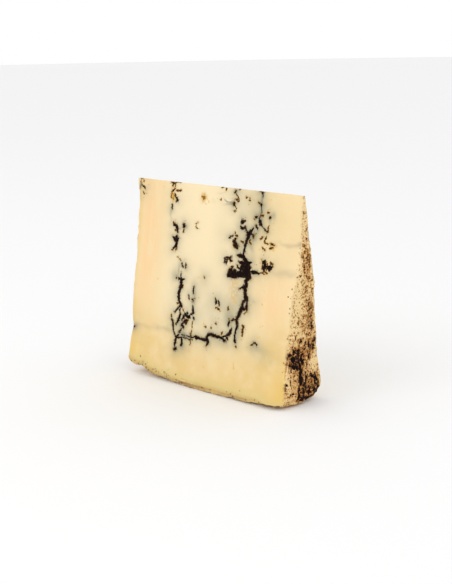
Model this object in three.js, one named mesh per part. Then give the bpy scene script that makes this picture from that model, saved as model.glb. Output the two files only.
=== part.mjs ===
// A cut wedge of hard sheep's milk cheese with truffle, standing on its curved rind.
// Millimetres. +X runs along the wheel's axis, +Y away from the front cut face, +Z up.
// The thin edge on top is the wheel's axis, and the curved side of the wheel is below.

import * as THREE from "three";
import { mergeVertices } from "three/addons/utils/BufferGeometryUtils.js";

const { degToRad, smoothstep } = THREE.MathUtils;

// Driving dimensions of the wheel and of the two cuts
const WHEEL_RADIUS = 105;
const WHEEL_HEIGHT = 114.1;
const CUT_ANGLE = degToRad(19);
const TIP_THICKNESS = 1.2;

// Depth by which the thin edge stays short of the wheel's axis
const TIP_LOSS = 0.4;

// Reach of each rim's rounding, across the wheel and up its flat face
const LEFT_RIM = { across: 37.7, up: 6.5 };
const RIGHT_RIM = { across: 4.2, up: 1.3 };

// The corner of heel, right rind and back cut face, rounded off from these places on
const BACK_CORNER = { from: 33, through: -0.4, up: 8.3 };

// Radius lost at the flat faces, and the share by which the wheel thins from its middle to its rim
const HEEL_CROWN = 0.8;
const FACE_DOME = 0.03;

// Depth of heel that the cheese's own weight has pressed flat
const RESTING_SINK = 0.5;

// Relief: how far the waves of a cut face and the lumps of the rind stand out
const CUT_WAVE = 0.35;
const RIND_LUMP = 0.55;
const HEEL_LUMP = 0.25;
const RELIEF_FADE = 14;

// Places where the front cut face leaves its plane along its right edge.
// down is the distance from the thin edge, and out is negative where the knife dug in.
const RIGHT_EDGE_BENDS = [
  { down: 28, reach: 13, out: -2.8 },
  { down: 100, reach: 30, out: -3.1 },
];
const RIGHT_EDGE_WIDTH = 9;

// Shallow creases across the front cut face, level with each other, where the knife stopped and went on
const CREASES = [
  { down: 23, width: 2.6, depth: 0.35, from: 30, to: 60 },
  { down: 37, width: 3.0, depth: 0.4, from: 34, to: 60 },
  { down: 80.5, width: 2.4, depth: 0.5, from: -60, to: -28 },
];

// Where a flat face of the wheel lies lower: two waists on the left, and on the right a dent and a slow
// fall towards the back edge
const LEFT_HOLLOWS = [
  { down: 43.5, reach: 9, depth: 1.15 },
  { down: 79, reach: 11.5, depth: 2.0 },
];
const RIGHT_DENT = { down: 80, reach: 9, depth: 1.6 };
const RIGHT_TAPER = { from: 35, to: 60, depth: 1.5 };

// Places where the heel's front edge leaves the wheel's round outline; out is negative where it is worn
const HEEL_EDGE_BENDS = [
  { x: -44, reach: 4.5, out: -2.0 },
  { x: -29, reach: 20, out: -0.6 },
  { x: 1, reach: 10.5, out: 0.8 },
  { x: 32, reach: 5, out: 0.4 },
  { x: 48, reach: 13, out: -0.75 },
];

// How far the left rind stands out at the thin edge
const LEFT_FLARE = { reach: 8, out: 2.4 };

// Grooves that run down the rough lower part of the right rind, placed by their depth from the middle
const RIND_GROOVES = [
  { through: -0.62, depth: 0.7 },
  { through: -0.18, depth: 0.5 },
  { through: 0.3, depth: 0.8 },
  { through: 0.74, depth: 0.5 },
];
const GROOVE_WIDTH = 0.12;
const GROOVE_START = 58;
const GROOVE_FULL = 82;

// Steps of the surface grid, and how much closer they stand near the rims than midway
const STEPS = { across: 38, down: 38, through: 10 };
const RIM_CROWDING = 0.45;

// Colour and finish of the waxy cut face
const PASTE_COLOUR = 0xecdcb4;
const PASTE_ROUGHNESS = 0.48;

const HALF_HEIGHT = WHEEL_HEIGHT / 2;
const HALF_ANGLE = CUT_ANGLE / 2;

// One at the centre, fading to nothing over the width
function bump(value, centre, width) {
  const offset = (value - centre) / width;
  return Math.exp(-offset * offset);
}

// Crowds grid steps towards the ends of -1 to 1, or towards the far end of 0 to 1
function crowd(share) {
  return share + (RIM_CROWDING * Math.sin(Math.PI * share)) / Math.PI;
}

// Turns the square corner between a flat face and the heel into a quarter ellipse
function roundRim(x, radius) {
  const rim = x < 0 ? LEFT_RIM : RIGHT_RIM;
  const flat = HALF_HEIGHT - rim.across;
  const straight = WHEEL_RADIUS - rim.up;
  const a = Math.max(Math.abs(x) - flat, 0) / rim.across;
  const b = Math.max(radius - straight, 0) / rim.up;
  const across = Math.min(Math.abs(x), flat) + a * Math.sqrt(1 - (b * b) / 2) * rim.across;
  const down = Math.min(radius, straight) + b * Math.sqrt(1 - (a * a) / 2) * rim.up;
  return [Math.sign(x) * across, down];
}

// Rounds the corner at the back of the heel's right end
function roundCorner(x, radius, through) {
  const share = smoothstep(x, BACK_CORNER.from, HALF_HEIGHT);
  const width = 1 - BACK_CORNER.through;
  const a = Math.max(through - BACK_CORNER.through, 0) / width;
  const b = Math.max(radius - (WHEEL_RADIUS - BACK_CORNER.up), 0) / BACK_CORNER.up;
  const inward = a * (1 - Math.sqrt(1 - (b * b) / 2)) * width;
  const upward = b * (1 - Math.sqrt(1 - (a * a) / 2)) * BACK_CORNER.up;
  return [radius - share * upward, through - share * inward];
}

// Long low waves that a knife leaves on a cut face
function cutWaves(x, radius, phase) {
  const long = Math.sin(x / 17 + radius / 31 + phase);
  const short = Math.sin(x / 9.5 - radius / 12 + 2.1 * phase);
  return CUT_WAVE * (0.65 * long + 0.35 * short);
}

function creaseDepth(x, radius) {
  let depth = 0;
  for (const { down, width, depth: full, from, to } of CREASES) {
    const along = smoothstep(x, from - 8, from) * (1 - smoothstep(x, to, to + 8));
    depth += full * along * bump(radius, down + 0.8 * Math.sin(x / 8), width);
  }
  return depth;
}

// How far the front cut face stands out of its plane
function frontRelief(x, radius) {
  const edge = smoothstep(x, HALF_HEIGHT - RIGHT_EDGE_WIDTH, HALF_HEIGHT);
  let out = cutWaves(x, radius, 0.4) - creaseDepth(x, radius);
  for (const bend of RIGHT_EDGE_BENDS) {
    out += edge * bend.out * bump(radius, bend.down, bend.reach);
  }
  return out;
}

function backRelief(x, radius) {
  return cutWaves(x, radius, 2.9);
}

// Uneven lumps of a rind, from two crossing pairs of waves
function lumps(a, b) {
  const wide = Math.sin(a / 4.6 + 0.8 * Math.sin(b / 7)) * Math.cos(b / 5.3 + 0.5);
  const narrow = Math.sin(a / 2.7 - b / 3.9) * Math.sin(b / 2.9 + a / 8);
  return 0.65 * wide + 0.35 * narrow;
}

function grooveDepth(radius, through) {
  const strength = smoothstep(radius, GROOVE_START, GROOVE_FULL);
  let depth = 0;
  for (const groove of RIND_GROOVES) {
    const wander = 0.05 * Math.sin(radius / 5 + 9 * groove.through);
    depth += groove.depth * strength * bump(through, groove.through + wander, GROOVE_WIDTH);
  }
  return depth;
}

function rightRelief(radius, through, y) {
  const dent = RIGHT_DENT.depth * bump(radius, RIGHT_DENT.down, RIGHT_DENT.reach);
  const taper = RIGHT_TAPER.depth * smoothstep(radius, RIGHT_TAPER.from, RIGHT_TAPER.to);
  const low = smoothstep(through, 0, 1) * (dent + taper);
  return RIND_LUMP * lumps(radius, y) - grooveDepth(radius, through) - low;
}

function leftRelief(radius, y) {
  let out = RIND_LUMP * lumps(radius + 21, y + 8);
  for (const { down, reach, depth } of LEFT_HOLLOWS) {
    out -= depth * bump(radius, down, reach);
  }
  return out;
}

function heelRelief(x, y, through) {
  let out = HEEL_LUMP * lumps(x, y + 30);
  for (const bend of HEEL_EDGE_BENDS) {
    out += bend.out * smoothstep(-through, 0, 1) * bump(x, bend.x, bend.reach);
  }
  return out;
}

// A point of the wedge: across and through run from -1 to 1, down from 0 at the thin edge to 1 at the heel
function wedgePoint(across, down, through) {
  const reached = TIP_LOSS + crowd(down) * (WHEEL_RADIUS - TIP_LOSS);
  let [x, radius] = roundRim(crowd(across) * HALF_HEIGHT, reached);
  const share = radius / WHEEL_RADIUS;
  radius -= HEEL_CROWN * (x / HALF_HEIGHT) ** 2 * share ** 2;
  x *= 1 + FACE_DOME * (0.5 - share ** 2);
  [radius, through] = roundCorner(x, radius, through);

  const angle = through * HALF_ANGLE;
  const fade = smoothstep(radius, 0, RELIEF_FADE);
  const depth = radius * angle;
  const onRight = smoothstep(across, 0.9, 1);
  const onLeft = smoothstep(-across, 0.9, 1);
  const onHeel = smoothstep(down, 0.94, 1);
  x += fade * onRight * rightRelief(radius, through, depth);
  x -= fade * onLeft * leftRelief(radius, depth);
  x -= onLeft * LEFT_FLARE.out * bump(radius, 0, LEFT_FLARE.reach);
  radius += onHeel * heelRelief(x, depth, through);

  const onFront = Math.max(-through, 0);
  const onBack = Math.max(through, 0);
  const out = onBack * backRelief(x, radius) - onFront * frontRelief(x, radius);
  const y = radius * Math.sin(angle) + (through * TIP_THICKNESS * (1 - share)) / 2 + fade * out;
  const z = WHEEL_RADIUS - radius * Math.cos(angle) - RESTING_SINK;
  return [x, y, Math.max(z, 0)];
}

// A box grid of one surface, bent into the wedge and centred over its own footprint
function wedgeGeometry() {
  const box = new THREE.BoxGeometry(2, 2, 2, STEPS.across, STEPS.through, STEPS.down);
  box.deleteAttribute("normal");
  box.deleteAttribute("uv");
  const geometry = mergeVertices(box, 1e-4);
  const position = geometry.getAttribute("position");
  for (let i = 0; i < position.count; i++) {
    const down = (1 - position.getZ(i)) / 2;
    position.setXYZ(i, ...wedgePoint(position.getX(i), down, position.getY(i)));
  }
  geometry.computeBoundingBox();
  const { min, max } = geometry.boundingBox;
  geometry.translate(-(min.x + max.x) / 2, -(min.y + max.y) / 2, 0);
  geometry.computeVertexNormals();
  return geometry;
}

function cheeseWedge() {
  const material = new THREE.MeshStandardMaterial({
    color: PASTE_COLOUR,
    roughness: PASTE_ROUGHNESS,
    metalness: 0,
  });
  const mesh = new THREE.Mesh(wedgeGeometry(), material);
  mesh.name = "cheese_wedge";
  return mesh;
}

const cheese = new THREE.Group();
cheese.add(cheeseWedge());

export default cheese;
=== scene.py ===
"""Looks of a cut wedge of hard sheep's milk cheese with truffle veins.

Shapes are worked out in millimetres and turned into metres when a mesh is made.
A place on a cut face is given as (x, radius): x along the wheel's axis from the wheel's
middle, radius down from the thin top edge, which is the wheel's axis.
"""
import math

import bmesh
import bpy
import numpy as np
from mathutils import Matrix, Vector


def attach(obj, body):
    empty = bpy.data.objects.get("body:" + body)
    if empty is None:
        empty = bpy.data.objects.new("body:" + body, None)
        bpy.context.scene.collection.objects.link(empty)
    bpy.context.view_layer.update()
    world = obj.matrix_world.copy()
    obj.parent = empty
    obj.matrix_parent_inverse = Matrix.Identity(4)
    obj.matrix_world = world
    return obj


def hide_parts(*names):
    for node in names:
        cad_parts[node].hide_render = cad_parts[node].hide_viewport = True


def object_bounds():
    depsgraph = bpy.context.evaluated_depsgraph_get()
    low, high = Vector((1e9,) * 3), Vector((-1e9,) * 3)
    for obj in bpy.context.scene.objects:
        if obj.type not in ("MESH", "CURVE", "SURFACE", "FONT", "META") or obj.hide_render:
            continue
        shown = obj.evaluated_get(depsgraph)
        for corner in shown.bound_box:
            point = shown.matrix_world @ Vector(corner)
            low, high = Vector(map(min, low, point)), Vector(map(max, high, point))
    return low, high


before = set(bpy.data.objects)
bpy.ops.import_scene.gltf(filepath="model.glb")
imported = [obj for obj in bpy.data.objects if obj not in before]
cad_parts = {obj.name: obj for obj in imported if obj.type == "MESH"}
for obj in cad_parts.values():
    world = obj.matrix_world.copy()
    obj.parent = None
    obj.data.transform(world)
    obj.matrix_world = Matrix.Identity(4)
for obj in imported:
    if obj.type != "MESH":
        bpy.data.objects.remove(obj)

CAD_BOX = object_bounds()
MM = 0.001

# Driving dimensions, as in the solid. A rim is (reach across, reach up), and the back corner is
# (where it starts across, where it starts through, reach up).
WHEEL_RADIUS = 105.0
WHEEL_HEIGHT = 114.1
CUT_ANGLE = math.radians(19.0)
TIP_THICKNESS = 1.2
TIP_LOSS = 0.4
LEFT_RIM = (37.7, 6.5)
RIGHT_RIM = (4.2, 1.3)
BACK_CORNER = (33.0, -0.4, 8.3)
HEEL_CROWN = 0.8
FACE_DOME = 0.03
RESTING_SINK = 0.5
CUT_WAVE = 0.35
RIND_LUMP = 0.55
HEEL_LUMP = 0.25
RELIEF_FADE = 14.0

# Bends and hollows as (radius or x, reach, out or depth), creases as (radius, width, depth, from, to),
# the taper as (from, to, depth), the flare as (reach, out), and grooves as (place through, depth)
RIGHT_EDGE_BENDS = ((28.0, 13.0, -2.8), (100.0, 30.0, -3.1))
RIGHT_EDGE_WIDTH = 9.0
CREASES = ((23.0, 2.6, 0.35, 30.0, 60.0), (37.0, 3.0, 0.4, 34.0, 60.0), (80.5, 2.4, 0.5, -60.0, -28.0))
LEFT_HOLLOWS = ((43.5, 9.0, 1.15), (79.0, 11.5, 2.0))
LEFT_FLARE = (8.0, 2.4)
RIGHT_DENT = (80.0, 9.0, 1.6)
RIGHT_TAPER = (35.0, 60.0, 1.5)
HEEL_EDGE_BENDS = (
    (-44.0, 4.5, -2.0), (-29.0, 20.0, -0.6), (1.0, 10.5, 0.8), (32.0, 5.0, 0.4), (48.0, 13.0, -0.75),
)
RIND_GROOVES = ((-0.62, 0.7), (-0.18, 0.5), (0.3, 0.8), (0.74, 0.5))
GROOVE_WIDTH = 0.12
GROOVE_START = 58.0
GROOVE_FULL = 82.0

HALF_HEIGHT = WHEEL_HEIGHT / 2
HALF_ANGLE = CUT_ANGLE / 2

# Surface grid of the dressed wedge: steps across, down and through, and how much closer they stand
# near the edges than midway
STEPS = (136, 128, 44)
EDGE_CROWDING = 0.3

# How often the grid is cut again close to a vein, on the front cut face and on the back one, and how
# close that is
FRONT_CUTS = 2
BACK_CUTS = 1
VEIN_REACH = 1.1

# Worn edges between the cut faces and the rind, at the thin edge on top and lower down
EDGE_ROUNDING = (0.4, 0.7)
EDGE_CRUMBLE = 0.7

# How far the right rind's crust reaches round onto the front cut face: radius, reach and width
RIND_WRAP = (86.0, 18.0, 2.0)

# Finer relief than the solid has: crumbs of the rind, and grain of the paste
CRUST_COARSE = 0.6
CRUST_FINE = 0.45
PASTE_GRAIN = 0.05

# The left rind is smoother and less marked: by which share, and from where on across the wheel
LEFT_CRUST_SHARE = 0.4
SMOOTHER_FROM = -40.0
LESS_MARKED_FROM = -30.0

# A flake of paste that the knife lifted near the thin edge: its middle, reach and height
FLAKE_X = 9.9
FLAKE_DOWN = 2.4
FLAKE_REACH = 4.9
FLAKE_HEIGHT = 0.55

# Camera: where it stands round the wedge, how far off, and the lens that frames the wedge
CAMERA_AZIMUTH = math.radians(45.0)
CAMERA_ELEVATION = math.radians(12.35)
CAMERA_ROLL = math.radians(-1.07)
CAMERA_DISTANCE = 0.6272
CAMERA_TARGET = Vector((0.00525, 0.0, 0.0498))
CAMERA_LENS = 75.16

# Light that falls on the front cut face, where 1 shows a colour as it is
STUDIO_LIGHT = 1.07

# How squarely a face has to look through or across the wheel to count as a cut face or as left rind
CUT_FACING = 0.8
RIND_FACING = 0.6

# From where on across the wheel the right rind wraps round, and its layout of marks reaches the heel
WRAPPED_FROM = 40.0
RIGHT_MARKS_FROM = 50.0

# A distance beyond the reach of any mark, stored where a point is on no cut face
FAR = 9.0

# How dark a blotch of the rind is at its edge
BLOTCH_EDGE = 0.42


def smoothstep(value, low, high):
    share = np.clip((value - low) / (high - low), 0, 1)
    return share * share * (3 - 2 * share)


def bump(value, centre, width):
    """One at the centre, fading to nothing over the width."""
    return np.exp(-(((value - centre) / width) ** 2))


def fading(distance, reach):
    """One inside a mark, fading to nothing outside it over about the reach."""
    return np.exp(-np.maximum(distance, 0) / reach)


def at_end(share, end=1):
    """Whether a grid place is at that end of its range."""
    return np.abs(share - end) < 0.001


def crowd(share):
    """Moves grid steps closer together near the ends of -1 to 1."""
    return share + EDGE_CROWDING * np.sin(math.pi * share) / math.pi


class Grain:
    """Smooth random values in space, the same in each run."""

    SIZE = 32

    def __init__(self, seed):
        self.values = np.random.default_rng(seed).random((self.SIZE,) * 3)

    def at(self, points, scale):
        """Values from -1 to 1 that change over about one scale, in millimetres."""
        place = points / scale
        low = np.floor(place).astype(int)
        part = place - low
        part = part * part * (3 - 2 * part)
        total = np.zeros(len(points))
        for corner in np.ndindex(2, 2, 2):
            cell = (low + corner) % self.SIZE
            weight = np.prod(np.where(corner, part, 1 - part), axis=1)
            total += weight * self.values[cell[:, 0], cell[:, 1], cell[:, 2]]
        return 2 * total - 1


# Form of the wedge

def round_rim(x, radius):
    """Turns the square corner between a flat face and the heel into a quarter ellipse."""
    rim_across = np.where(x < 0, LEFT_RIM[0], RIGHT_RIM[0])
    rim_up = np.where(x < 0, LEFT_RIM[1], RIGHT_RIM[1])
    flat = HALF_HEIGHT - rim_across
    straight = WHEEL_RADIUS - rim_up
    a = np.maximum(np.abs(x) - flat, 0) / rim_across
    b = np.maximum(radius - straight, 0) / rim_up
    across = np.minimum(np.abs(x), flat) + a * np.sqrt(1 - b * b / 2) * rim_across
    down = np.minimum(radius, straight) + b * np.sqrt(1 - a * a / 2) * rim_up
    return np.sign(x) * across, down


def round_corner(x, radius, through):
    """Rounds the corner at the back of the heel's right end."""
    start, from_through, up = BACK_CORNER
    share = smoothstep(x, start, HALF_HEIGHT)
    width = 1 - from_through
    a = np.maximum(through - from_through, 0) / width
    b = np.maximum(radius - (WHEEL_RADIUS - up), 0) / up
    inward = a * (1 - np.sqrt(1 - b * b / 2)) * width
    upward = b * (1 - np.sqrt(1 - a * a / 2)) * up
    return radius - share * upward, through - share * inward


def cut_waves(x, radius, phase):
    long_wave = np.sin(x / 17 + radius / 31 + phase)
    short_wave = np.sin(x / 9.5 - radius / 12 + 2.1 * phase)
    return CUT_WAVE * (0.65 * long_wave + 0.35 * short_wave)


def crease_depth(x, radius):
    depth = np.zeros_like(x)
    for down, width, full, start, end in CREASES:
        along = smoothstep(x, start - 8, start) * (1 - smoothstep(x, end, end + 8))
        depth += full * along * bump(radius, down + 0.8 * np.sin(x / 8), width)
    return depth


def front_relief(x, radius):
    edge = smoothstep(x, HALF_HEIGHT - RIGHT_EDGE_WIDTH, HALF_HEIGHT)
    out = cut_waves(x, radius, 0.4) - crease_depth(x, radius)
    for down, reach, bend in RIGHT_EDGE_BENDS:
        out += edge * bend * bump(radius, down, reach)
    return out


def lumps(a, b):
    """Uneven lumps of a rind, from two crossing pairs of waves."""
    wide = np.sin(a / 4.6 + 0.8 * np.sin(b / 7)) * np.cos(b / 5.3 + 0.5)
    narrow = np.sin(a / 2.7 - b / 3.9) * np.sin(b / 2.9 + a / 8)
    return 0.65 * wide + 0.35 * narrow


def groove_depth(radius, through):
    strength = smoothstep(radius, GROOVE_START, GROOVE_FULL)
    depth = np.zeros_like(radius)
    for place, full in RIND_GROOVES:
        wander = 0.05 * np.sin(radius / 5 + 9 * place)
        depth += full * strength * bump(through, place + wander, GROOVE_WIDTH)
    return depth


def right_relief(radius, through, depth):
    down, reach, full = RIGHT_DENT
    start, end, fall = RIGHT_TAPER
    low = full * bump(radius, down, reach) + fall * smoothstep(radius, start, end)
    low *= smoothstep(through, 0, 1)
    return RIND_LUMP * lumps(radius, depth) - groove_depth(radius, through) - low


def left_relief(radius, depth):
    out = RIND_LUMP * lumps(radius + 21, depth + 8)
    for down, reach, full in LEFT_HOLLOWS:
        out -= full * bump(radius, down, reach)
    return out


def heel_relief(x, depth, through):
    out = HEEL_LUMP * lumps(x, depth + 30)
    for place, reach, bend in HEEL_EDGE_BENDS:
        out += bend * smoothstep(-through, 0, 1) * bump(x, place, reach)
    return out


def half_thickness(radius):
    return radius * math.sin(HALF_ANGLE) + TIP_THICKNESS / 2 * (1 - radius / WHEEL_RADIUS)


def wedge_points(across, down, through):
    """Points of the wedge's surface, with what the looks need to know of each."""
    x, radius = round_rim(across * HALF_HEIGHT, TIP_LOSS + down * (WHEEL_RADIUS - TIP_LOSS))
    share = radius / WHEEL_RADIUS
    radius = radius - HEEL_CROWN * (x / HALF_HEIGHT) ** 2 * share**2
    x = x * (1 + FACE_DOME * (0.5 - share**2))
    radius, through = round_corner(x, radius, through)

    angle = through * HALF_ANGLE
    fade = smoothstep(radius, 0, RELIEF_FADE)
    depth = radius * angle
    on_right = smoothstep(across, 0.9, 1)
    on_left = smoothstep(-across, 0.9, 1)
    on_heel = smoothstep(down, 0.94, 1)
    x = x + fade * on_right * right_relief(radius, through, depth)
    x = x - fade * on_left * left_relief(radius, depth)
    x = x - on_left * LEFT_FLARE[1] * bump(radius, 0, LEFT_FLARE[0])
    radius = radius + on_heel * heel_relief(x, depth, through)

    on_front = np.maximum(-through, 0)
    on_back = np.maximum(through, 0)
    out = on_back * cut_waves(x, radius, 2.9) - on_front * front_relief(x, radius)
    y = radius * np.sin(angle) + through * TIP_THICKNESS / 2 * (1 - share) + fade * out
    z = WHEEL_RADIUS - radius * np.cos(angle) - RESTING_SINK
    return np.stack([x, y, np.maximum(z, 0)], axis=1)


def nearness(distance, reach):
    """One at an edge, down to nothing at the reach from it."""
    return np.clip(1 - distance / reach, 0, 1)


def worn_edges(points, radius, sides, grain):
    """Rounds the edges where the cut faces meet the rind, unevenly, as crumbs have come off."""
    across, down, through = sides
    edge_x = HALF_HEIGHT * (1 + FACE_DOME * (0.5 - (radius / WHEEL_RADIUS) ** 2))
    low, high = EDGE_ROUNDING
    worn = 1 + EDGE_CRUMBLE * (0.6 * grain.at(points, 3.1) + 0.6 * grain.at(points + 50, 1.3))
    reach = (low + (high - low) * smoothstep(radius, 2, 20)) * worn
    to_cut = np.where(through < 1, half_thickness(radius) - np.abs(points[:, 1]), 0)
    cut_share = nearness(to_cut, reach)

    def pulled(rind_share):
        """How far a point moves off the rind and off the cut face."""
        off_rind = rind_share * (1 - np.sqrt(1 - cut_share**2 / 2))
        off_cut = cut_share * (1 - np.sqrt(1 - rind_share**2 / 2))
        return off_rind * reach, off_cut * reach

    to_side = np.where(across < 1, edge_x - np.abs(points[:, 0]), 0)
    to_heel = np.where(down < 1, WHEEL_RADIUS - radius, 0)
    to_tip = np.where(down > 0, radius, 0)
    side_in, side_off = pulled(nearness(to_side, reach))
    heel_in, heel_off = pulled(nearness(to_heel, reach))
    tip_in, tip_off = pulled(nearness(to_tip, reach))

    moved = points.copy()
    moved[:, 0] -= np.sign(points[:, 0]) * side_in
    moved[:, 1] -= np.sign(points[:, 1]) * np.maximum.reduce([side_off, heel_off, tip_off])
    moved[:, 2] += heel_in - tip_in
    return moved


def flake_height(x, radius):
    """The lifted flake: it rises towards its lower rim and ends there at a step."""
    away = np.hypot(x - FLAKE_X, radius - FLAKE_DOWN) / FLAKE_REACH
    below = smoothstep(radius, FLAKE_DOWN, FLAKE_DOWN + 3)
    return FLAKE_HEIGHT * below * smoothstep(away, 0.35, 0.9) * (1 - smoothstep(away, 0.97, 1.06))


def fine_relief(points, radius, normals, sides, grain):
    """How far the dressed surface stands out of the solid's."""
    through = sides[2]
    rind = (through < 1).astype(float)
    crust = CRUST_COARSE * grain.at(points, 2.6) + CRUST_FINE * grain.at(points + 30, 1.15)
    crust = crust * np.where(points[:, 0] > SMOOTHER_FROM, 1.0, LEFT_CRUST_SHARE)
    paste = PASTE_GRAIN * grain.at(points + 60, 1.8)
    out = rind * crust * smoothstep(radius, 0, 12) + (1 - rind) * paste
    front = (1 - rind) * (points[:, 1] < 0)
    out += front * flake_height(points[:, 0], radius)
    return points + out[:, None] * normals


def box_grid(steps):
    """Places and quads of a closed box surface whose faces share their edges."""
    ids = np.full([count + 1 for count in steps], -1)
    shell = np.ones(ids.shape, bool)
    shell[1:-1, 1:-1, 1:-1] = False
    ids[shell] = np.arange(shell.sum())
    quads = []
    for axis in range(3):
        for end in (0, -1):
            sheet = np.take(ids, end, axis)
            ring = [sheet[:-1, :-1], sheet[1:, :-1], sheet[1:, 1:], sheet[:-1, 1:]]
            quads.append(np.stack(ring, axis=-1).reshape(-1, 4))
    return np.argwhere(shell) / np.array(steps), np.concatenate(quads)


# Truffle on the front cut face: each stroke is a chain of (x, radius, width)

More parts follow.
